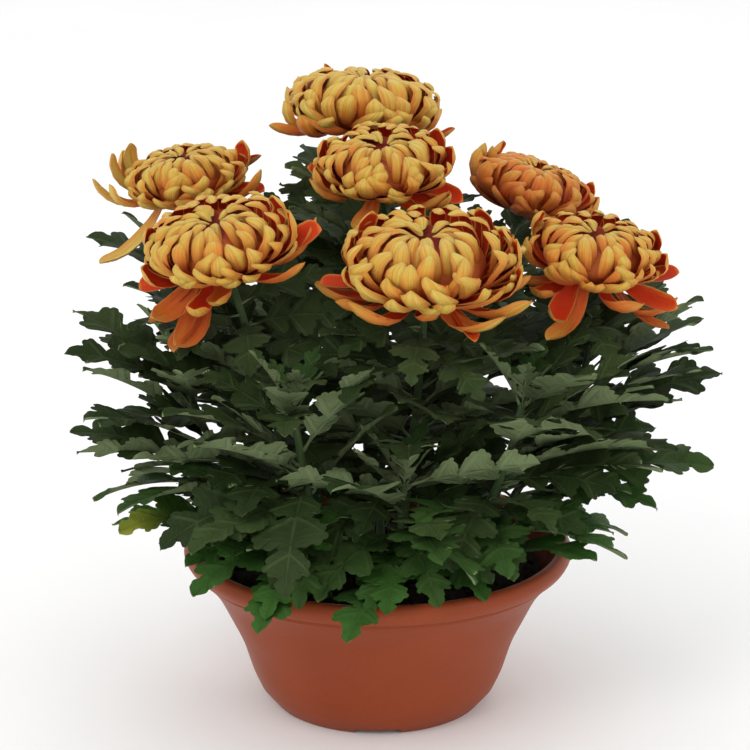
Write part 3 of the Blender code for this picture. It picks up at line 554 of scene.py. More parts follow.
def plan_plant():
    """The lines of all stems and the forms of the loose petals and leaves, found as the solids' were."""
    ends, axes, routes, plans, stem_trees = {}, {}, {}, {}, {}
    for name, *placing, seed in BLOOMS + SHOOTS:
        if name in LOOSE:
            ends[name], axes[name] = stem_ends(*placing)
        else:
            ends[name] = shoot_ends(*placing)
        route = routes[name] = route_of(ends[name], STEM_POINTS)
        leaves, draw = leaves_of(route, *(UNDER_BLOOM if name in LOOSE else ON_SHOOT), seed)
        plans[name] = (placed_leaves(LEADING.get(name, ()), route) + leaves, draw)
        stem_trees[name] = [tube_tree(route, stem_radii(route))]
        if name in LOOSE:
            top, axis = route[-1], axes[name]
            points = [top - axis * 2 * MM, top + axis * 0.45 * CUP_HEIGHT, top + axis * CUP_HEIGHT]
            stem_trees[name].append(tube_tree(points, (STEM_TOP_RADIUS, 0.8 * CUP_RADIUS, CUP_RADIUS)))
    crowd = Crowd()
    standing, loose = [], {}
    for name, centre, radius, lean, toward, seed in BLOOMS:
        matrix = frame_at(bloom_foot(centre, radius, lean, toward), lean, toward)
        stems = [t for other in routes if other != name for t in stem_trees[other]]
        loose[name], trees = settled_petals(name, radius * MM, matrix, seed, standing + stems)
        trees.append(tree_of_mesh(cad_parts["bloom_" + name].data))
        standing += trees
        for tree in trees:
            crowd.add(tree, Vector(centre) * MM, BLOOM_BALL, SOLID_COST)
    for node in ("pot", "soil"):
        standing.append(tree_of_mesh(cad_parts[node].data))
        crowd.add(standing[-1], Vector(), POT_BALL, SOLID_COST)
    for name, route in routes.items():
        crowd.add(stem_trees[name][0], *ball_of(route), STEM_COST)
    leaf_trees = {name: [] for name in routes}
    placed = {name: [] for name in routes}
    for k in range(max(len(leaves) for leaves, draw in plans.values())):
        for name in routes:
            leaves, draw = plans[name]
            if k >= len(leaves):
                continue
            others = [t for other in routes if other != name for t in stem_trees[other] + leaf_trees[other]]
            found = clear_leaf(leaves[k], draw, standing + others + leaf_trees[name][-3:])
            if found:
                form, tree = found
                placed[name].append(form)
                leaf_trees[name].append(tree)
                crowd.add(tree, *ball_of(leaf_body(*form, LEAF_THICK)[0]), LEAF_COST)
    facing = {name: placed_leaves(FACING.get(name, ()), route) for name, route in routes.items()}
    for form in [form for held in facing.values() for form in held]:
        points, faces = leaf_body(*form, LEAF_THICK)
        crowd.add(tree_of(points, faces), *ball_of(points), LEAF_COST)
    extras = more_leaves(routes, crowd)
    forms = {name: [(form, FINE_LEAF) for form in placed[name] + facing[name]]
             + [(form, PLAIN_LEAF) for form in extras[name]] for name in routes}
    return ends, loose, forms


# Fine meshes
class Sheaf:
    """Vertices, faces, material slots and shading values of one piece, gathered form by form."""

    def __init__(self, names):
        self.points, self.faces, self.slots = [], [], []
        self.values = {name: [] for name in names}
        self.count = 0

    def add(self, points, faces, slots, **values):
        points = np.asarray(points, float)
        self.points.append(points)
        self.faces += [tuple(int(v) + self.count for v in face) for face in faces]
        self.slots += list(slots)
        for name, held in self.values.items():
            held.append(np.broadcast_to(np.asarray(values.get(name, 0.0), float), (len(points),)))
        self.count += len(points)

    def make(self, name, materials, sharp):
        mesh = bpy.data.meshes.new(name)
        mesh.from_pydata([tuple(p) for p in np.concatenate(self.points)], [], self.faces)
        for material in materials:
            mesh.materials.append(material)
        mesh.polygons.foreach_set("material_index", self.slots)
        for key, held in self.values.items():
            layer = mesh.attributes.new(key, "FLOAT", "POINT")
            layer.data.foreach_set("value", np.concatenate(held).astype(np.float32))
        mesh.shade_smooth()
        mesh.set_sharp_from_angle(angle=math.radians(sharp))
        return add_object(name, mesh)


def ease(x):
    x = np.clip(x, 0.0, 1.0)
    return x * x * (3.0 - 2.0 * x)


def add_shell(sheaf, front, rear, slots, **values):
    """A closed thin form: its front and rear grids share the points along the rim."""
    rows, columns = front.shape[:2]
    index = np.arange(rows * columns).reshape(rows, columns)
    behind = index.copy()
    inner = np.arange((rows - 2) * (columns - 2)).reshape(rows - 2, columns - 2)
    behind[1:-1, 1:-1] = rows * columns + inner
    faces = []
    for grid, order in ((index, 1), (behind, -1)):
        corners = (grid[:-1, :-1], grid[:-1, 1:], grid[1:, 1:], grid[1:, :-1])
        faces.append(np.stack([corner.reshape(-1) for corner in corners[::order]], 1))
    points = np.concatenate([front.reshape(-1, 3), rear[1:-1, 1:-1].reshape(-1, 3)])
    spread = {}
    for name, value in values.items():
        value = np.broadcast_to(value, (rows, columns))
        spread[name] = np.concatenate([value.reshape(-1), value[1:-1, 1:-1].reshape(-1)])
    count = (rows - 1) * (columns - 1)
    sheaf.add(points, np.concatenate(faces).tolist(), [slots[0]] * count + [slots[1]] * count, **spread)


# Petals: the share of a petal before its rounded end, in the dome and below it
DOME_BODY = 0.74
LOOSE_BODY = 0.83
BODY_STATIONS = 7
ACROSS = np.linspace(-1.0, 1.0, 7)
UP = np.array((0.0, 0.0, 1.0))
RIDGES = 7.0
RIDGE_HEIGHT = 0.045


def petal_stations(body):
    """Stations along a petal, closer at its rounded end, and the width that the rounding leaves there."""
    turn = np.radians(np.linspace(0.0, 80.0, 6))[1:]
    rounded_end = body + (1.0 - body) * np.sin(turn) / np.sin(turn[-1])
    stations = np.concatenate([np.linspace(0.0, body, BODY_STATIONS), rounded_end])
    return stations, np.concatenate([np.ones(BODY_STATIONS), np.cos(turn)])


def add_petal(sheaf, matrix, line, azimuth, lean, roll, half_width, claw, cup, hood, thick, draw, slots,
              taper=0.26, body=DOME_BODY, **values):
    """One petal along a line in its own plane: a channel with a narrow root and a rounded, hooded end."""
    line = np.asarray(line, float)
    lengths = np.concatenate([[0.0], np.cumsum(np.hypot(*np.diff(line, axis=0).T))])
    share = lengths / lengths[-1]
    t, rounded = petal_stations(body)
    out, up = np.interp(t, share, line[:, 0]), np.interp(t, share, line[:, 1])
    step_out = np.interp(t, share, np.gradient(line[:, 0], share))
    step_up = np.interp(t, share, np.gradient(line[:, 1], share))
    angle = azimuth + lean * t ** 2
    radial = np.stack([np.cos(angle), np.sin(angle), 0.0 * t], 1)
    side = np.stack([-np.sin(angle), np.cos(angle), 0.0 * t], 1)
    along = radial * step_out[:, None] + UP * step_up[:, None]
    along /= np.linalg.norm(along, axis=1)[:, None]
    back = np.cross(side, along)
    turn = (roll * (0.3 + 0.7 * t))[:, None]
    across = side * np.cos(turn) + back * np.sin(turn)
    back = back * np.cos(turn) - side * np.sin(turn)
    wave = 1.0 + 0.05 * np.sin(t * draw.uniform(7.0, 11.0) + draw.uniform(0.0, ANY_PHASE))
    root = claw + (1.0 - claw) * ease(t / 0.55)
    half = half_width * root * (1.0 - taper * ease((t - 0.56) / 0.5)) * rounded * wave
    bend = np.radians(cup[0] + (cup[1] - cup[0]) * ease(t / 0.7))[:, None]
    u = ACROSS[None, :]
    skew = 1.0 + 0.14 * draw.uniform(-1.0, 1.0) * u
    x = half[:, None] * np.sin(u * bend) / np.sin(bend)
    y = -half[:, None] * (1.0 - np.cos(u * bend)) / np.sin(bend) * skew
    y = y - (hood * lengths[-1] * ease((t - 0.62) / 0.38) ** 1.5)[:, None]
    centre = radial * out[:, None] + UP * up[:, None]
    normal = across[:, None, :] * np.sin(u * bend)[..., None] + back[:, None, :] * np.cos(u * bend)[..., None]
    phase = draw.uniform(0.0, ANY_PHASE)
    swell = np.sin(np.pi * np.clip(t * 1.05, 0.0, 1.0))[:, None] * (1.0 - u ** 2)
    relief = half_width * RIDGE_HEIGHT * np.cos(RIDGES * u + phase + 1.2 * t[:, None]) * swell
    front = centre[:, None, :] + across[:, None, :] * x[..., None] + back[:, None, :] * y[..., None]
    front = front + normal * relief[..., None]
    rear = front - normal * (thick * np.sqrt(np.maximum(0.0, 1.0 - u ** 2)))[..., None]
    turned = np.array(matrix.to_3x3())
    place = np.array(matrix.to_translation())
    front, rear = front @ turned.T + place, rear @ turned.T + place
    add_shell(sheaf, front, rear, slots, along=t[:, None], across=u, **values)


# Incurved petals in a spiral from the crown out: place in it, polar angle of the tip (degrees) and width
SPIRAL = np.array(((0, 6, 0.14), (0.1, 13, 0.175), (0.25, 24, 0.215), (0.45, 42, 0.25), (0.65, 60, 0.28),
    (0.85, 80, 0.305), (1, 96, 0.315)))
HEAD_PETALS = 92
HEAD_FLAT = 0.54
HEART_PETALS = 7
PETAL_ARC = 78.0
GOLDEN = math.pi * (3.0 - math.sqrt(5.0))
# Each head: its lean, mostly less than its solid's; its size against the solid's; where its petals stand
# more open, as an azimuth in degrees, and how much; how much redder than golden it is, which from about 0.85
# up, with each petal's place outward, also darkens it to brown as painted shade; and the loose petals that
# lie flat and show their red face, by azimuth
HEADS = {
    "back": (4.0, 1.04, (20.0, 0.2), -0.75, (-10,)),
    "middle": (13.0, 1.03, (60.0, 0.4), -0.2, (-12, 14, 178)),
    "left_back": (8.0, 0.92, (30.0, 0.3), -0.45, (-8,)),
    "left_front": (16.0, 1.04, (20.0, 0.5), -0.15, (-130, 188, -5)),
    "front": (11.0, 1.12, (14.0, 0.8), -0.22, (180,)),
    "right_back": (20.0, 0.98, (-20.0, 0.6), 0.85, (186,)),
    "right_front": (13.0, 1.0, (30.0, 0.55), 0.1, (-12, 6)),
}
HANGING = -40.0  # a loose petal with a steeper root is turned and shows its golden side
SKIRT_STEPS = 18
SKIRT_THICK = 1.0 * MM
PETAL_SHARP = 58.0
CORE_SLOT = 2
# Redness of the solids' loose petals; it also gives them a little painted shade
LOOSE_REDNESS_AND_SHADE = 1.08
GOLD_AND_RED, GOLD_ONLY = (0, 1), (0, 0)
# Petals between the dome and the loose ones that the photograph shows to stand or sweep out: azimuth, slope
# and curl (degrees), length and half width (mm), roll, redness (from about 0.85 up also painted shade, darker
# brown) and the slot of the inner side
ADDED = {
    "back": ((172, -14, 120, 46, 7, -20, 0.3, 1), (192, -26, 128, 47, 7.5, 0, 0.7, 1),
        (148, -4, 112, 46, 7, -20, 0.2, 1), (214, -34, 128, 42, 7.5, 0, 0.8, 1),
        (8, -10, 116, 44, 7, 0, 0.5, 1), (-14, -20, 122, 44, 7, -20, 0.9, 1)),
    "middle": ((166, 2, 124, 42, 6.5, 16, 0.4, 1), (198, -10, 116, 42, 7, 10, 0.7, 1),
        (24, 6, 118, 42, 7, -24, 0.5, 1), (2, -4, 112, 42, 7, -20, 0.6, 1),
        (-34, -28, 110, 42, 7, 0, 0.6, 1)),
    "left_back": ((196, -14, 112, 44, 6.5, 0, 0.0, 0), (162, 2, 112, 46, 6.5, 0, -0.1, 0),
        (-28, -24, 108, 44, 7, 0, 0.7, 1), (16, -2, 118, 42, 7, -20, 0.5, 1)),
    "left_front": ((168, 4, 124, 46, 7, 22, 0.4, 1), (200, -12, 110, 44, 7.5, 20, 0.6, 1),
        (14, 8, 124, 48, 6.5, -28, 0.4, 1), (-14, -2, 116, 50, 7.5, -24, 0.6, 1),
        (-116, -40, 120, 42, 7.5, 0, 0.5, 1), (-146, -46, 96, 46, 8, 16, 1.4, 0),
        (-136, -58, 60, 50, 7.5, -16, 1.6, 0)),
    "front": ((10, 10, 122, 58, 6.5, -32, 0.4, 1), (-8, 0, 114, 58, 7, -28, 0.5, 1),
        (30, 18, 122, 54, 6, -34, 0.4, 1), (-22, -10, 100, 54, 7, -20, 0.6, 1),
        (170, 2, 124, 50, 7, 18, 0.5, 1), (150, 14, 120, 50, 6.5, 24, 0.4, 1),
        (-48, -40, 60, 38, 4.5, 10, 1.2, 1)),
    "right_back": ((160, 4, 124, 42, 6.5, -26, 1.0, 1), (184, -2, 128, 42, 7, -24, 1.1, 1),
        (136, 8, 118, 42, 6.5, -26, 1.0, 1), (208, -4, 128, 41, 7, 0, 1.2, 1),
        (-12, -8, 118, 42, 7, -16, 0.9, 1), (12, 6, 118, 42, 6.5, -20, 0.8, 1)),
    "right_front": ((162, 6, 122, 44, 7, 18, 0.5, 1), (196, -8, 104, 44, 7.5, 16, 0.7, 1),
        (20, 6, 122, 44, 6.5, -24, 0.5, 1), (0, -2, 118, 44, 7, -20, 0.6, 1),
        (-118, -56, 96, 42, 7, 10, 0.9, 1), (-136, -44, 112, 40, 7.5, -20, 1.1, 1),
        (-24, -44, 66, 47, 4, 0, 1.5, 0)),
}


def incurved_line(radius, tip, depth, opened, hook):
    """An incurved petal's line over the dome, from its root under the outer petals to its tip."""
    polar = np.linspace(tip + PETAL_ARC, tip, 25)
    near = polar - tip
    reach = depth - 0.0055 * np.maximum(0.0, near - 16.0) - hook * np.clip(1.0 - near / 10.0, 0.0, 1.0) ** 2
    reach = reach + 0.22 * opened * ease(1.0 - near / 38.0)
    turn = np.radians(polar)
    sunk = 0.12 * np.clip(1.0 - polar / 20.0, 0.0, 1.0) ** 2
    up = DOME_FLAT * CORE_SHARE + HEAD_FLAT * reach * np.cos(turn) - sunk
    return radius * np.stack([reach * np.sin(turn), up], 1)


def add_dome(sheaf, crown, size, draw, opens, redness_and_shade):
    """The incurved petals of a head in their spiral, and the small ones in its heart."""
    open_side, open_share = opens
    for k in range(HEAD_PETALS):
        q = (k + 0.5) / HEAD_PETALS
        tip, width = (float(np.interp(q, SPIRAL[:, 0], SPIRAL[:, n])) for n in (1, 2))
        azimuth = k * GOLDEN + draw.uniform(-0.16, 0.16)
        opened = (0.5 + 0.5 * math.cos(azimuth - math.radians(open_side))) ** 1.3 * open_share
        opened = (opened + draw.uniform(0.0, 0.3)) * float(ease((q - 0.03) / 0.12) * ease((1.06 - q) / 0.3))
        tip = max(4.0, tip + 6.0 * opened + draw.uniform(-4.0, 4.0))
        depth = (0.84 + 0.16 * float(ease(tip / 52.0))) * draw.uniform(0.97, 1.04)
        line = incurved_line(size, tip, depth, opened, draw.uniform(0.03, 0.10))
        loosened = 0.35 + 0.65 * min(1.0, q / 0.8)
        lean, roll = (math.radians(draw.uniform(-most, most)) * loosened for most in (26.0, 20.0))
        # Petals further out get a higher layer value: redder, and past about 0.85 darker brown as painted
        # shade
        add_petal(sheaf, crown, line, azimuth, lean, roll, size * width / 2 * draw.uniform(0.84, 1.16), 0.42,
                  (22.0, draw.uniform(44.0, 62.0)), draw.uniform(0.02, 0.06), 1.1 * MM, draw, GOLD_AND_RED,
                  tone=draw.random(), layer=redness_and_shade + 0.8 * q)
    for k in range(HEART_PETALS):
        line = incurved_line(size, draw.uniform(4.0, 9.0), draw.uniform(0.76, 0.88), 0.0, 0.02)
        add_petal(sheaf, crown, line, k * GOLDEN, 0.0, 0.0, size * 0.06, 0.4, (24.0, 60.0), 0.03, 0.8 * MM,
                  draw, GOLD_AND_RED, tone=draw.random(), layer=redness_and_shade - 0.2)


def loose_style(name, azimuth, slope, curl, length, half_width, lean, flat, draw):
    """How a solid's loose petal looks: its changed form, roll, cup, slots of its two sides, and redness and
    painted shade.
    """
    toward = max(0.0, -math.sin(azimuth))
    roll = math.radians(draw.uniform(-12.0, 12.0))
    cup = (24.0, draw.uniform(42.0, 56.0))
    sides, redness_and_shade = GOLD_AND_RED, LOOSE_REDNESS_AND_SHADE
    face_roll = math.radians(46.0) * toward * math.sin(2.0 * azimuth)
    if name == "left_back" and math.cos(azimuth) < -0.8:
        slope, curl, length, half_width = slope - 4.0, curl + 58.0, length * 1.2, half_width * 1.4
        sides, redness_and_shade = GOLD_ONLY, -1.2
    elif flat and slope < HANGING:
        # A hanging petal shows its golden side, which its high redness darkens to brown as painted shade
        curl, cup, sides, redness_and_shade = curl + 100.0, (50.0, 84.0), GOLD_ONLY, 1.5
        roll += face_roll
    elif flat:
        curl, half_width = curl + 96.0 * toward, half_width * (1.0 + 0.2 * toward)
        roll += face_roll
        cup = (30.0, draw.uniform(50.0, 66.0))
    else:
        slope, curl = slope + 14.0 * toward, curl + 22.0 + 24.0 * toward
        roll += math.radians(34.0) * math.cos(azimuth)
        lean += math.radians(30.0) * math.sin(2.0 * azimuth + math.pi)
        cup = (40.0, draw.uniform(66.0, 84.0))
        sides = GOLD_ONLY if slope < HANGING else sides
    return slope, curl, length, half_width, lean, roll, cup, sides, redness_and_shade


def make_head(name, centre, radius, lean, toward, seed, loose, materials):
    """A fine bloom: its dome, the solid's loose petals, more of them, and the core."""
    head_lean, share, opens, head_redness_and_shade, red_faced = HEADS[name]
    matrix = frame_at(bloom_foot(centre, radius, lean, toward), lean, toward)
    crown = frame_at(bloom_foot(centre, radius, head_lean, toward), head_lean, toward)
    radius *= MM
    size = radius * share
    draw = random.Random(seed + 500)
    sheaf = Sheaf(("along", "across", "tone", "layer"))
    add_dome(sheaf, crown, size, draw, opens, head_redness_and_shade)
    for azimuth, *form in loose:
        flat = round(math.degrees(azimuth)) in red_faced
        style = loose_style(name, azimuth, *form, flat, draw)
        slope, curl, length, half_width, petal_lean, roll, cup, sides, redness_and_shade = style
        line = skirt_line(radius, slope, curl, length, SKIRT_STEPS)
        hood, taper = draw.uniform(-0.02, 0.04), 0.06 if flat else 0.2
        add_petal(sheaf, matrix, line, azimuth, petal_lean, roll, half_width, 0.5, cup, hood, SKIRT_THICK,
                  draw, sides, taper, LOOSE_BODY, tone=draw.random(), layer=redness_and_shade)
    for azimuth, slope, curl, length, half_width, roll, redness_and_shade, inner in ADDED[name]:
        line = skirt_line(radius, slope, curl, length * MM, SKIRT_STEPS)
        petal_lean = math.radians(draw.uniform(-12.0, 12.0))
        cup = (34.0, draw.uniform(58.0, 76.0))
        add_petal(sheaf, matrix, line, math.radians(azimuth), petal_lean, math.radians(roll),
                  half_width * MM, 0.45, cup, 0.04, SKIRT_THICK, draw, (0, inner), 0.14, LOOSE_BODY,
                  tone=draw.random(), layer=redness_and_shade)
    # The core, a ball inside the dome that shows in the gaps and the heart, is painted dark red as painted
    # shade
    core = []
    for polar in np.radians(np.linspace(0.0, 128.0, 14)):
        reach = size * 0.70 * (1.0 - 0.5 * math.exp(-(polar / 0.40) ** 2))
        middle = size * DOME_FLAT * CORE_SHARE
        core.append((reach * math.sin(polar), middle + HEAD_FLAT * reach * math.cos(polar)))
    points, faces = lathe(core + [(0.19 * size, 0.01 * size), (0.0, 0.01 * size)], 24)
    faces = [face[::-1] for face in faces]
    away = [math.hypot(*point[:2]) / (0.6 * size) for point in points]
    sheaf.add([crown @ Vector(p) for p in points], faces, [CORE_SLOT] * len(faces), along=away)
    return sheaf.make("head_" + name, materials, PETAL_SHARP)


# Leaves: half of the margin as position along and across, and its place among the side veins, which end in
# the lobe tips at whole numbers
LEAF_MARGIN = np.array(((0, 0.013, 0), (0.08, 0.011, 0.1), (0.16, 0.014, 0.2), (0.2, 0.03, 0.35),
    (0.228, 0.072, 0.5), (0.256, 0.116, 0.62), (0.292, 0.146, 0.74), (0.336, 0.172, 0.87), (0.38, 0.184, 1),
    (0.408, 0.172, 1.08), (0.42, 0.138, 1.2), (0.42, 0.094, 1.35), (0.424, 0.048, 1.5), (0.456, 0.08, 1.62),
    (0.472, 0.134, 1.72), (0.506, 0.184, 1.8), (0.552, 0.224, 1.9), (0.61, 0.25, 2), (0.652, 0.242, 2.08),
    (0.676, 0.204, 2.2), (0.682, 0.14, 2.35), (0.686, 0.062, 2.5), (0.714, 0.086, 2.6), (0.74, 0.13, 2.72),
    (0.786, 0.16, 2.85), (0.838, 0.166, 3), (0.866, 0.144, 3.1), (0.876, 0.104, 3.25), (0.882, 0.064, 3.5),
    (0.906, 0.076, 3.6), (0.936, 0.078, 3.7), (0.964, 0.056, 3.8), (0.984, 0.028, 3.9), (1, 0.003, 4)))
TOOTH = 0.086
TOOTH_DEPTH = 0.030
# Stations along half a margin and steps from the rib to it
FINE_LEAF = (96, 3)
PLAIN_LEAF = (64, 2)
LEAF_SHARP = 50.0
STEM_SLOT = 2
YOUNG_LEAVES = 5


def leaf_margin(phase, depth, rows):
    """Samples of a toothed half margin, with the point on the rib that each is joined to."""
    x, y, vein = LEAF_MARGIN.T
    lengths = np.concatenate([[0.0], np.cumsum(np.hypot(np.diff(x), np.diff(y)))])
    petiole = np.linspace(0.0, lengths[3], 5)
    at = np.concatenate([petiole, np.linspace(lengths[3], lengths[-1], rows - 3)[1:]])
    sx, sy, sv = (np.interp(at, lengths, c) for c in (x, y, vein))
    sx[1:-1], sy[1:-1] = (0.25 * c[:-2] + 0.5 * c[1:-1] + 0.25 * c[2:] for c in (sx, sy))
    normal_x, normal_y = np.gradient(sy), -np.gradient(sx)
    size = np.hypot(normal_x, normal_y)
    notch = (1.0 - np.abs(np.sin(np.pi * (at / TOOTH + phase))) ** 0.6) * depth * ease((at - 0.26) / 0.08)
    notch *= ease((lengths[-1] - at - 0.05) / 0.08)
    rib = np.maximum(np.maximum.accumulate(sx - 0.8 * sy), 0.0) + np.linspace(0.0, 1e-3, len(sx))
    rib = np.minimum(rib, 1.0)
    rib[0], rib[-1] = 0.0, 1.0
    return sx + normal_x / size * notch, np.maximum(0.002, sy + normal_y / size * notch), rib, sv


def add_leaf(sheaf, form, draw, age, low, grid):
    """One leaf with petiole: lobed, toothed, quilted between its veins, arched along its rib."""
    base, azimuth, start, droop, length, fold, roll = form
    grid_rows, columns = grid
    middles = (np.arange(RIB_STEPS) + 0.5) / RIB_STEPS
    slopes = np.radians(start - droop * middles ** 1.4)
    steps = np.linspace(0.0, 1.0, RIB_STEPS + 1)
    rib_out, rib_up = (np.concatenate([[0.0], np.cumsum(step) / RIB_STEPS])
                       for step in (np.cos(slopes), np.sin(slopes)))
    outward = np.array((math.cos(azimuth), math.sin(azimuth), 0.0))
    side = np.array((-math.sin(azimuth), math.cos(azimuth), 0.0))
    v = np.linspace(0.0, 1.0, columns + 1)
    halves = []
    for sign in (-1.0, 1.0):
        mx, my, rib, vein = leaf_margin(draw.random(), TOOTH_DEPTH * draw.uniform(0.8, 1.25), grid_rows)
        swell = 1.0 + 0.07 * np.sin(vein * 2.0 + draw.uniform(0.0, ANY_PHASE))
        gx = rib[:, None] + (mx - rib)[:, None] * v
        gy = sign * (my * swell)[:, None] * v
        halves.append((gx, gy, np.broadcast_to(vein[:, None], gx.shape), np.broadcast_to(sign * v, gx.shape)))
    gx, gy, vein, across = (np.concatenate([a[:, :0:-1], b], 1) for a, b in zip(*halves))
    gx[:, columns] = halves[0][0][:, 0]
    edge = np.abs(across)
    wide = ease((gx - 0.17) / 0.08)
    near_vein = np.abs(vein - np.round(vein)) * 2.0
    phase = draw.uniform(0.0, ANY_PHASE)
    z = 0.007 * np.sin(np.pi * edge) * (near_vein ** 0.7 - 0.35) * wide
    z += 0.016 * edge ** 2 * np.sin(vein * 3.1 + phase + 1.7 * np.sign(across)) * wide
    z += 0.010 * edge ** 3 * np.sin(vein * 7.3 + 2.3 * phase) * wide
    z -= 0.020 * edge ** 4 * np.abs(gy) / 0.27 * wide
    z += gy * math.tan(math.radians(draw.uniform(-7.0, 7.0))) * gx
    z -= 0.007 * np.exp(-(gy / 0.014) ** 2) * wide
    slope = np.interp(gx, middles, slopes)[..., None]
    normal = UP * np.cos(slope) - outward * np.sin(slope)
    turn = roll * ease(gx / 0.25)[..., None]
    across_way = side * np.cos(turn) + normal * np.sin(turn)
    normal = normal * np.cos(turn) - side * np.sin(turn)
    out, up = np.interp(gx, steps, rib_out), np.interp(gx, steps, rib_up)
    centre = np.array(base) + (outward * out[..., None] + UP * up[..., None]) * length
    raised = (np.sqrt(gy ** 2 + 0.012 ** 2) - 0.012) * math.sin(fold) + z
    front = centre + across_way * (gy * math.cos(fold) * length)[..., None]
    front = front + normal * (raised * length)[..., None]
    stout = LEAF_THICK * (0.8 + 1.6 * (1.0 - ease(gx / 0.22))) * np.sqrt(np.maximum(0.0, 1.0 - edge ** 4))
    rear = front - normal * stout[..., None]
    add_shell(sheaf, front, rear, (0, 1), along=gx, across=across, vein=vein, tone=draw.random(), age=age,
              low=low)


def add_tube(sheaf, points, radii, sides, slot, ribs, **values):
    """A closed stem along a line, with fine lengthwise ridges."""
    points = np.array([tuple(p) for p in points])
    along = np.gradient(points, axis=0)
    along /= np.linalg.norm(along, axis=1)[:, None]
    first = np.cross(along[0], (1.0, 0.0, 0.0))
    turn = np.linspace(0.0, 2 * np.pi, sides, endpoint=False)
    rows = []
    for point, direction, radius in zip(points, along, radii):
        first = first - direction * (first @ direction)
        first /= np.linalg.norm(first)
        second = np.cross(direction, first)
        reach = radius * (1.0 + ribs * np.cos(turn * 5))
        rows.append(point + (first * np.cos(turn)[:, None] + second * np.sin(turn)[:, None]) * reach[:, None])
    faces = []
    for k in range(0, (len(rows) - 1) * sides, sides):
        for i in range(sides):
            j = (i + 1) % sides
            faces.append((k + i, k + j, k + sides + j, k + sides + i))
    last = (len(rows) - 1) * sides
    faces += [tuple(range(sides))[::-1], tuple(range(last, last + sides))]
    share = np.repeat(np.linspace(0.0, 1.0, len(rows)), sides)
    sheaf.add(np.concatenate(rows), faces, [slot] * len(faces), along=share, **values)


# The green cup under a bloom (mm): heights and radii of its body; its rings of scales as their number, lowest
# and highest level, reach and width
CUP_BODY_MM = ((-9.5, 2.1), (-7.5, 3.2), (-5.5, 4.6), (-3.5, 6.0), (-1.6, 7.2), (-0.4, 7.6))
CUP_SCALES = ((9, -8.6, -2.6, 6.6, 3.4), (11, -6.8, 0.6, 8.8, 3.8), (12, -4.6, 3.0, 10.4, 4.0))


def add_cup(sheaf, foot_frame, draw):
    add_tube(sheaf, [foot_frame @ (UP_WAY * (z * MM)) for z, r in CUP_BODY_MM],
             [r * MM for z, r in CUP_BODY_MM], 20, STEM_SLOT, 0.02, tone=0.5)
    for ring, (count, low, high, reach, width) in enumerate(CUP_SCALES):
        line = [(2.6 + 0.45 * ring, low), (4.4 + ring, low + 1.6), (reach * 0.88, (low + high) / 2 + 0.4),
                (reach, high)]
        line = [(r * MM, z * MM) for r, z in line]
        for k in range(count):
            azimuth = 2 * math.pi * (k + 0.5 * (ring % 2)) / count + draw.uniform(-0.1, 0.1)
            add_petal(sheaf, foot_frame, line, azimuth, 0.0, 0.0, width / 2 * MM, 0.7, (14.0, 34.0), 0.0,
                      0.7 * MM, draw, (STEM_SLOT, STEM_SLOT), tone=draw.random())


def make_foliage(piece_name, ends, forms, foot_frame, seed, materials):
    """A fine stem with its leaves, and the cup under its bloom or a tuft of young leaves at its tip."""
    draw = random.Random(seed + 900)
    sheaf = Sheaf(("along", "across", "vein", "tone", "age", "low"))
    route = route_of(ends, 30)
    add_tube(sheaf, route, stem_radii(route), 15, STEM_SLOT, 0.05, tone=0.5)
    if foot_frame:
        add_cup(sheaf, foot_frame, draw)
    else:
        base = route[-1] - UP_WAY * BELOW_TIP
        for k in range(YOUNG_LEAVES):
            bud = (base, k * 2.4, 66.0, 20.0, 0.030 + 0.004 * k, math.radians(24.0), 0.0)
            add_leaf(sheaf, bud, draw, 0.0, 0.3, PLAIN_LEAF)
    for k, (form, grid) in enumerate(forms):
        # low: painted light, a brighter green on low leaves at the front, where the light falls
        low = float(ease((0.150 - form[0].z) / 0.05)) * (0.5 + 0.5 * float(math.sin(form[1]) < 0.0))
        age = float(piece_name == "foliage_left" and k == 0)
        add_leaf(sheaf, form, draw, age, low, grid)
    return sheaf.make(piece_name, materials, LEAF_SHARP)


def rounded(points, corners, steps):
    """A profile with each named corner replaced by a short curve."""
    made = []
    for k, point in enumerate(points):
        reach = corners.get(k)
        if not reach:
            made.append(point)
            continue
        a, b, c = Vector(points[k - 1]), Vector(point), Vector(points[k + 1])
        start = b + (a - b).normalized() * min(reach, (a - b).length * 0.45)
        end = b + (c - b).normalized() * min(reach, (c - b).length * 0.45)
        for n in range(steps + 1):
            t = n / steps
            made.append(tuple(start * (1 - t) ** 2 + b * 2 * t * (1 - t) + end * t ** 2))
    return made


def curved(points, steps):
    """A smooth line through points, a Catmull-Rom curve."""
    points = [np.array(p) for p in points]
    points = [2 * points[0] - points[1]] + points + [2 * points[-1] - points[-2]]
    made = []
    for a, b, c, d in zip(points, points[1:], points[2:], points[3:]):
        for n in range(steps):
            t = n / steps
            made.append(tuple(0.5 * (2 * b + (c - a) * t + (2 * a - 5 * b + 4 * c - d) * t ** 2
                                     + (3 * b - a - 3 * c + d) * t ** 3)))
    return made + [tuple(points[-2])]


POT_SIDES_FINE = 168
POT_SHARP = 34.0
# The groove under the rolled rim, between the third and fourth points of the outside (mm)
RIM_GROOVE_MM = ((111.2, 86.8), (108.6, 85.7), (107.0, 84.9), (106.9, 83.8), (106.4, 82.4))
# How far each edge of the foot is rounded, by its place in the profile
FOOT_EDGES = {1: 1.2 * MM, 2: 0.8 * MM, 3: 0.6 * MM, 4: 0.6 * MM, 5: 0.6 * MM}


def pot_wall_inside():
    outside = [(r * MM, z * MM) for r, z in POT_OUTSIDE_MM]
    return [(r - POT_WALL, z + 0.3 * POT_WALL) for r, z in outside[3:-1]]


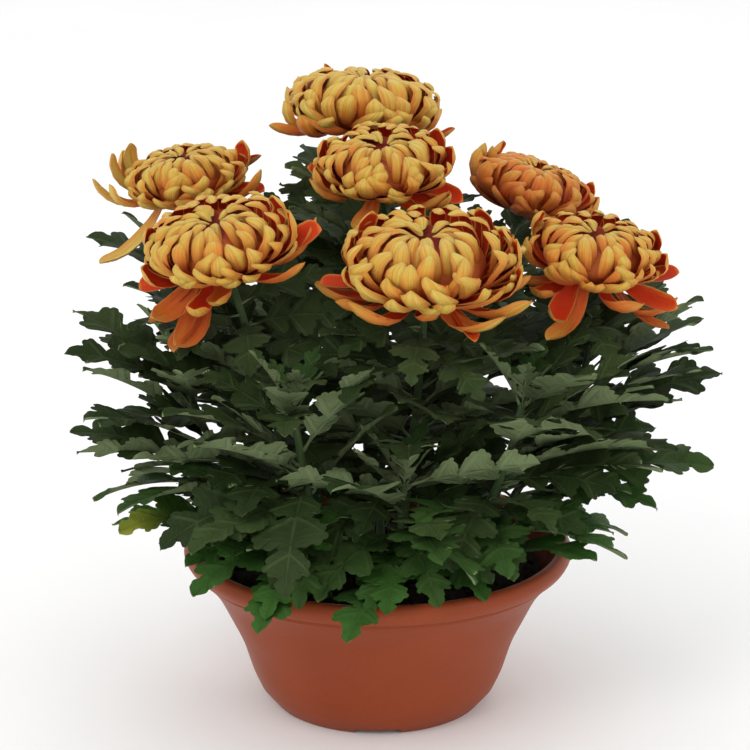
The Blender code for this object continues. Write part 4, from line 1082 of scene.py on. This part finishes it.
def make_pot(material):
    outside = [(r * MM, z * MM) for r, z in POT_OUTSIDE_MM[:3] + RIM_GROOVE_MM + POT_OUTSIDE_MM[3:]]
    lip = [(r * MM, z * MM) for r, z in POT_LIP_MM]
    shell = curved(pot_wall_inside()[::-1] + lip + outside[:-1], 5)
    foot = [shell[-1], outside[-1], (POT_RING_INNER, 0.0), (POT_RING_INNER, POT_FLOOR_UNDER),
            (POT_PAD_RADIUS, POT_FLOOR_UNDER), (POT_PAD_RADIUS, 0.0), (0.0, 0.0)]
    floor = POT_FLOOR_UNDER + POT_WALL
    profile = [(0.0, floor), (POT_FOOT_RADIUS - POT_WALL, floor)] + shell + rounded(foot, FOOT_EDGES, 3)[1:]
    points, faces = lathe(profile, POT_SIDES_FINE)
    sheaf = Sheaf(("along",))
    sheaf.add(points, [face[::-1] for face in faces], [0] * len(faces))
    pot = sheaf.make("pot_shell", [material], POT_SHARP)
    cutters = []
    for k in range(NOTCH_COUNT):
        bpy.ops.mesh.primitive_cube_add(size=1.0)
        length = POT_FOOT_RADIUS - POT_RING_INNER + 20.0 * MM
        middle = (POT_FOOT_RADIUS + POT_RING_INNER) / 2
        turn = Matrix.Rotation(2 * math.pi * k / NOTCH_COUNT, 4, "Z")
        size = Matrix.Diagonal((length, NOTCH_WIDTH, 2 * NOTCH_HEIGHT, 1.0))
        bpy.context.object.matrix_world = turn @ Matrix.Translation((middle, 0.0, 0.0)) @ size
        cutters.append(bpy.context.object)
    for k in range(DRAIN_COUNT):
        angle = 2 * math.pi * (k + 0.5) / DRAIN_COUNT
        spot = (DRAIN_CIRCLE * math.cos(angle), DRAIN_CIRCLE * math.sin(angle), POT_FLOOR_UNDER)
        bpy.ops.mesh.primitive_cylinder_add(vertices=28, radius=DRAIN_RADIUS, depth=20.0 * MM, location=spot)
        cutters.append(bpy.context.object)
    for cutter in cutters:
        boolean = pot.modifiers.new("Cut", "BOOLEAN")
        boolean.operation = "DIFFERENCE"
        boolean.solver = "EXACT"
        boolean.object = cutter
    mesh = evaluated_mesh(pot)
    pot.modifiers.clear()
    pot.data = mesh
    mesh.set_sharp_from_angle(angle=math.radians(POT_SHARP))
    for cutter in cutters:
        bpy.data.objects.remove(cutter, do_unlink=True)
    return pot


SOIL_SIDES, SOIL_RINGS = 120, 40
LUMPS = 420
LUMP_SHARP = 80.0


def make_compost(material):
    """Crumbly compost: a rough top with lumps, on a plain body that fills the bowl."""
    draw = random.Random(5)
    inside = pot_wall_inside()
    wall = [(r - GAP, z) for r, z in inside if z < SOIL_TOP - 2 * MM]
    top_radius = wall[0][0] + (inside[0][0] - wall[0][0]) * 0.25
    floor = POT_FLOOR_UNDER + POT_WALL + GAP
    profile = [(top_radius * k / SOIL_RINGS, SOIL_TOP + SOIL_CROWN * (1.0 - k / SOIL_RINGS))
               for k in range(SOIL_RINGS + 1)]
    profile += wall + [(POT_FOOT_RADIUS - POT_WALL - GAP, floor), (0.0, floor)]
    points, faces = lathe(profile, SOIL_SIDES)
    shaped = []
    for x, y, z in points:
        if z > SOIL_TOP - 1e-6 and math.hypot(x, y) < top_radius - 1e-6:
            place = Vector((x, y, 0.0))
            grain = noise.fractal(place * 170.0, 0.7, 2.2, 4) * 1.5 * MM
            lump = max(0.0, noise.noise(place * 60.0 + Vector((3.1, 7.7, 0.0)))) * 4.0 * MM
            z += grain + lump - 1.2 * MM
        shaped.append((x, y, z))
    sheaf = Sheaf(("tone",))
    sheaf.add(shaped, [face[::-1] for face in faces], [0] * len(faces), tone=0.5)
    ball, ball_faces = lathe([(math.sin(math.pi * k / 5), -math.cos(math.pi * k / 5)) for k in range(6)], 7)
    for _ in range(LUMPS):
        reach = (top_radius - 4 * MM) * math.sqrt(draw.random())
        angle = draw.uniform(0.0, 2 * math.pi)
        size = draw.uniform(0.8, 3.0) * MM
        turn = Matrix.Rotation(draw.uniform(0.0, ANY_PHASE), 3, "Z")
        turn = turn @ Matrix.Rotation(draw.uniform(0.0, 3.1), 3, "X")
        spread = Vector((draw.uniform(0.6, 1.5), draw.uniform(0.6, 1.2), draw.uniform(0.5, 1.0))) * size
        height = SOIL_TOP + SOIL_CROWN * (1.0 - reach / top_radius) + size * 0.25
        spot = Vector((reach * math.cos(angle), reach * math.sin(angle), height))
        lump = [spot + turn @ Vector((p[0] * spread.x, p[1] * spread.y, p[2] * spread.z))
                * (1.0 + 0.3 * noise.noise(Vector(p) * 1.7 + spot * 900.0)) for p in ball]
        sheaf.add(lump, ball_faces, [0] * len(ball_faces), tone=draw.random())
    return sheaf.make("compost", [material], LUMP_SHARP)


# Materials
class Shader:
    """A material's node tree, built by short calls that give back sockets."""

    def __init__(self, name, roughness, specular, sheen=0.0):
        self.material = bpy.data.materials.new(name)
        self.material.use_nodes = True
        self.tree = self.material.node_tree
        self.surface = self.tree.nodes["Principled BSDF"]
        self.surface.inputs["Roughness"].default_value = roughness
        self.surface.inputs["Specular IOR Level"].default_value = specular
        self.surface.inputs["Sheen Weight"].default_value = sheen
        self.surface.inputs["Sheen Roughness"].default_value = 0.4

    def let_light_through(self):
        self.surface.inputs["Subsurface Weight"].default_value = 0.2
        self.surface.inputs["Subsurface Radius"].default_value = (1.0, 0.6, 0.3)
        self.surface.inputs["Subsurface Scale"].default_value = 2.5 * MM

    def node(self, kind, inputs=(), **settings):
        made = self.tree.nodes.new(kind)
        for key, value in settings.items():
            setattr(made, key, value)
        for key, value in inputs:
            if isinstance(value, bpy.types.NodeSocket):
                self.tree.links.new(value, made.inputs[key])
            else:
                made.inputs[key].default_value = value
        return made

    def value(self, name):
        return self.node("ShaderNodeAttribute", attribute_name=name).outputs["Fac"]

    def place(self):
        return self.node("ShaderNodeTexCoord").outputs["Object"]

    def math(self, operation, *terms):
        return self.node("ShaderNodeMath", enumerate(terms), operation=operation).outputs[0]

    def total(self, first, *terms):
        """The first value plus each other one times its weight."""
        for value, weight in terms:
            first = self.math("MULTIPLY_ADD", value, weight, first)
        return first

    def size_of(self, name):
        return self.math("ABSOLUTE", self.value(name))

    def from_whole(self, value):
        """How far a value lies from the nearest whole number."""
        return self.math("ABSOLUTE", self.math("SUBTRACT", value, self.math("ROUND", value)))

    def vector(self, x, y, z):
        return self.node("ShaderNodeCombineXYZ", enumerate((x, y, z))).outputs[0]

    def noise(self, vector, scale, detail=3.0, roughness=0.55):
        inputs = (("Vector", vector), ("Scale", scale), ("Detail", detail), ("Roughness", roughness))
        return self.node("ShaderNodeTexNoise", inputs).outputs["Fac"]

    def spread(self, value, low, high, start=0.0, end=1.0):
        inputs = (("Value", value), ("From Min", low), ("From Max", high), ("To Min", start), ("To Max", end))
        return self.node("ShaderNodeMapRange", inputs, interpolation_type="SMOOTHSTEP").outputs[0]

    def ramp(self, value, *stops):
        made = self.node("ShaderNodeValToRGB", (("Fac", value),))
        points = made.color_ramp.elements
        while len(points) < len(stops):
            points.new(0.5)
        for point, (position, *colour) in zip(points, stops):
            point.position = position
            point.color = (*colour, 1.0)
        return made.outputs["Color"]

    def mix(self, factor, first, second):
        first, second = ((*c, 1.0) if isinstance(c, tuple) else c for c in (first, second))
        inputs = ((0, factor), (6, first), (7, second))
        return self.node("ShaderNodeMix", inputs, data_type="RGBA").outputs[2]

    def finish(self, colour, height=None, distance=0.0, roughness=None):
        self.tree.links.new(colour, self.surface.inputs["Base Color"])
        if height is not None:
            inputs = (("Height", height), ("Distance", distance), ("Strength", 1.0))
            bump = self.node("ShaderNodeBump", inputs)
            self.tree.links.new(bump.outputs[0], self.surface.inputs["Normal"])
        if roughness is not None:
            self.tree.links.new(roughness, self.surface.inputs["Roughness"])
        return self.material


def petal_streaks(s, count):
    """Lengthwise streaks that differ from petal to petal."""
    place = s.vector(s.math("MULTIPLY", s.value("across"), count), s.math("MULTIPLY", s.value("along"), 0.7),
                     s.math("MULTIPLY", s.value("tone"), 37.0))
    return s.noise(place, 1.0, 3.0, 0.6)


def petal_back():
    """The outer side of a petal: gold over a red-orange root, with fine lengthwise ridges; outer petals
    browned as painted shade.
    """
    s = Shader("petal_gold", 0.55, 0.2, 0.04)
    s.let_light_through()
    mottle = s.noise(s.place(), 260.0, 3.0)
    shift = s.total(-0.675, (s.value("along"), 1.0), (petal_streaks(s, 3.2), 0.85), (s.value("tone"), 0.26),
                    (s.value("layer"), -0.24), (mottle, 0.24))
    colour = s.ramp(shift, (0.04, 0.56, 0.072, 0.012), (0.24, 0.60, 0.125, 0.018), (0.42, 0.61, 0.205, 0.028),
                    (0.58, 0.60, 0.305, 0.042), (0.72, 0.57, 0.390, 0.060), (0.90, 0.59, 0.462, 0.094))
    colour = s.mix(s.spread(s.size_of("across"), 0.40, 0.95, 0.0, 0.62), colour, (0.60, 0.160, 0.023))
    # Painted shade: petals with a high layer value, the outer and loose ones and the whole right back head,
    # darkened towards brown
    colour = s.mix(s.spread(s.value("layer"), 0.85, 1.7, 0.0, 0.6), colour, (0.34, 0.062, 0.014))
    colour = s.mix(s.spread(petal_streaks(s, 9.0), 0.46, 0.62, 0.0, 0.55), colour, (0.58, 0.150, 0.022))
    fine = petal_streaks(s, 15.0)
    return s.finish(colour, s.total(fine, (mottle, 0.4)), 0.5 * MM, s.spread(fine, 0.3, 0.7, 0.42, 0.58))


def petal_face():
    """The inner side: deep red with a thin golden rim."""
    s = Shader("petal_red", 0.55, 0.14)
    s.let_light_through()
    shift = s.total(-0.6, (s.value("along"), 0.35), (s.value("layer"), 0.30), (s.value("tone"), 0.5),
                    (petal_streaks(s, 4.0), 0.5), (s.noise(s.place(), 320.0, 2.0), 0.2))
    colour = s.ramp(shift, (0.0, 0.44, 0.025, 0.006), (0.3, 0.48, 0.031, 0.007), (0.6, 0.52, 0.038, 0.008),
                    (0.84, 0.56, 0.056, 0.012), (1.0, 0.58, 0.135, 0.022))
    rim = s.spread(s.size_of("across"), 0.82, 0.98)
    rim = s.math("MAXIMUM", rim, s.spread(s.value("along"), 0.93, 0.995))
    gold = s.math("MULTIPLY", rim, s.spread(s.value("layer"), 0.75, 1.0, 1.0, 0.35))
    return s.finish(s.mix(gold, colour, (0.64, 0.34, 0.055)), petal_streaks(s, 15.0), 0.3 * MM)


# The core's colour is painted shade: dark red, darkest towards the axis, for the gaps between petals and the
# heart
def petal_core():
    s = Shader("bloom_core_shade", 0.7, 0.3)
    grain = s.noise(s.place(), 500.0, 3.0)
    shade = s.total(-0.2, (s.value("along"), 1.0), (grain, 0.4))
    colour = s.ramp(shade, (0.30, 0.20, 0.012, 0.004), (0.62, 0.38, 0.042, 0.009), (1.0, 0.46, 0.105, 0.019))
    return s.finish(colour, grain, 0.5 * MM)


def leaf_veins(s, reach):
    """How near a point is to the midrib or to a side vein, from 0 to 1."""
    across, vein = s.size_of("across"), s.value("vein")
    rib = s.spread(across, 0.02 * reach, 0.075 * reach, 1.0, 0.0)
    main = s.spread(s.from_whole(vein), 0.012 * reach, 0.05 * reach, 1.0, 0.0)
    main = s.math("MULTIPLY", main, s.spread(across, 0.75, 1.0, 1.0, 0.0))
    third = s.from_whole(s.math("MULTIPLY", s.total(vein, (across, 0.55)), 6.0))
    third = s.spread(third, 0.02, 0.16 * reach, 0.28, 0.0)
    return s.math("MAXIMUM", rib, s.math("MAXIMUM", main, third))


def leaf_top():
    s = Shader("leaf_top", 0.68, 0.07)
    cloud = s.noise(s.place(), 38.0, 4.0)
    shade = s.total(0.0, (s.value("tone"), 0.55), (cloud, 0.55))
    colour = s.ramp(shade, (0.15, 0.014, 0.025, 0.007), (0.5, 0.024, 0.040, 0.012),
                    (0.9, 0.042, 0.064, 0.021))
    # Painted light: low leaves at the lit front turn a brighter green; the young tip leaves get a little of
    # it
    colour = s.mix(s.math("MULTIPLY", s.value("low"), 0.85), colour, (0.040, 0.118, 0.020))
    colour = s.mix(s.math("MULTIPLY", leaf_veins(s, 1.0), 0.26), colour, (0.090, 0.130, 0.055))
    tip = s.spread(s.total(s.value("along"), (cloud, 0.3)), 0.72, 1.06)
    yellow = s.ramp(cloud, (0.3, 0.12, 0.17, 0.02), (0.7, 0.26, 0.27, 0.035))
    colour = s.mix(s.math("MULTIPLY", s.value("age"), tip), colour, yellow)
    height = s.total(0.0, (s.noise(s.place(), 900.0, 2.0), 0.35), (leaf_veins(s, 1.7), -1.0))
    return s.finish(colour, height, 0.3 * MM, s.spread(cloud, 0.3, 0.7, 0.52, 0.66))


def leaf_under():
    s = Shader("leaf_underside", 0.75, 0.08)
    colour = s.ramp(s.noise(s.place(), 46.0, 4.0), (0.3, 0.115, 0.152, 0.068), (0.7, 0.180, 0.232, 0.108))
    colour = s.mix(s.math("MULTIPLY", leaf_veins(s, 1.3), 0.5), colour, (0.21, 0.27, 0.14))
    tip = s.spread(s.value("along"), 0.6, 0.95)
    colour = s.mix(s.math("MULTIPLY", s.value("age"), tip), colour, (0.26, 0.28, 0.07))
    return s.finish(colour, leaf_veins(s, 2.0), 0.5 * MM)


def stem_green():
    s = Shader("stem_green", 0.5, 0.4, 0.1)
    colour = s.ramp(s.noise(s.place(), 60.0, 3.0), (0.3, 0.030, 0.060, 0.022), (0.7, 0.065, 0.11, 0.035))
    return s.finish(colour, s.noise(s.place(), 700.0, 2.0), 0.3 * MM)


def pot_plastic():
    """Terracotta-coloured moulded plastic: satin, a little dusty, with faint turning marks."""
    s = Shader("pot_plastic", 0.40, 0.14)
    place = s.place()
    cloud = s.noise(place, 14.0, 4.0)
    speck = s.noise(place, 420.0, 2.0, 0.7)
    axes = s.node("ShaderNodeSeparateXYZ", (("Vector", place),))
    rings = s.noise(s.vector(0.0, 0.0, s.math("MULTIPLY", axes.outputs["Z"], 900.0)), 1.0, 2.0)
    shade = s.total(0.0, (cloud, 0.7), (speck, 0.3))
    colour = s.ramp(shade, (0.3, 0.230, 0.042, 0.013), (0.7, 0.285, 0.057, 0.019))
    scuff = s.spread(s.noise(place, 75.0, 6.0, 0.7), 0.60, 0.78, 0.0, 0.35)
    colour = s.mix(scuff, colour, (0.31, 0.085, 0.042))
    height = s.total(0.0, (rings, 0.5), (speck, 0.5))
    return s.finish(colour, height, 0.10 * MM, s.spread(cloud, 0.3, 0.7, 0.36, 0.50))


def compost_earth():
    s = Shader("compost_earth", 0.92, 0.2)
    grain = s.noise(s.place(), 520.0, 4.0, 0.7)
    shade = s.total(0.0, (grain, 0.7), (s.value("tone"), 0.3))
    colour = s.ramp(shade, (0.3, 0.006, 0.004, 0.003), (0.6, 0.022, 0.014, 0.009), (0.85, 0.06, 0.040, 0.024))
    return s.finish(colour, grain, 1.2 * MM)


def floor_white():
    s = Shader("floor_white", 0.9, 0.1)
    grain = s.noise(s.place(), 3.0, 2.0)
    return s.finish(s.ramp(grain, (0.3, 0.88, 0.88, 0.88), (0.7, 0.90, 0.90, 0.90)))


LIT_SPOT = Vector((0.0, 0.0, 0.22))
WHITE = (1.0, 1.0, 1.0)


def make_light(name, spot, size, power, colour):
    data = bpy.data.lights.new(name, "AREA")
    data.shape = "DISK"
    data.size = size
    data.energy = power
    data.color = colour
    light = add_object(name, data)
    light.location = spot
    light.rotation_euler = (LIT_SPOT - Vector(spot)).to_track_quat("-Z", "Y").to_euler()


def make_studio():
    bpy.ops.mesh.primitive_plane_add(size=24.0)
    floor = bpy.context.object
    floor.name = "floor"
    floor.data.materials.append(floor_white())
    world = bpy.data.worlds.new("studio")
    world.use_nodes = True
    background = world.node_tree.nodes["Background"]
    background.inputs["Color"].default_value = (*WHITE, 1.0)
    background.inputs["Strength"].default_value = 1.05
    bpy.context.scene.world = world
    make_light("key", (-1.1, -1.7, 1.9), 1.1, 15.0, (1.0, 0.98, 0.95))
    make_light("fill", (1.7, -1.5, 1.1), 1.4, 6.0, WHITE)
    make_light("back", (0.6, 1.8, 1.8), 1.2, 6.0, WHITE)
    bpy.context.scene.view_settings.view_transform = "Standard"


def hand_over(piece, slot, *nodes):
    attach(piece, "root")
    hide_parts(*nodes)


ends, loose, forms = plan_plant()
make_studio()
hand_over(make_pot(pot_plastic()), "terracotta_plastic", "pot")
hand_over(make_compost(compost_earth()), "compost", "soil")
petal_materials = [petal_back(), petal_face(), petal_core()]
leaf_materials = [leaf_top(), leaf_under(), stem_green()]
for name, centre, radius, lean, toward, seed in BLOOMS:
    head = make_head(name, centre, radius, lean, toward, seed, loose[name], petal_materials)
    hand_over(head, "petals", "bloom_" + name)
    foot_frame = frame_at(bloom_foot(centre, radius, lean, toward), lean, toward)
    foliage = make_foliage("foliage_" + name, ends[name], forms[name], foot_frame, seed, leaf_materials)
    hand_over(foliage, "foliage", "leafy_stem_" + name)
for name, *placing, seed in SHOOTS:
    foliage = make_foliage("foliage_" + name, ends[name], forms[name], None, seed, leaf_materials)
    hand_over(foliage, "foliage", "leafy_shoot_" + name)
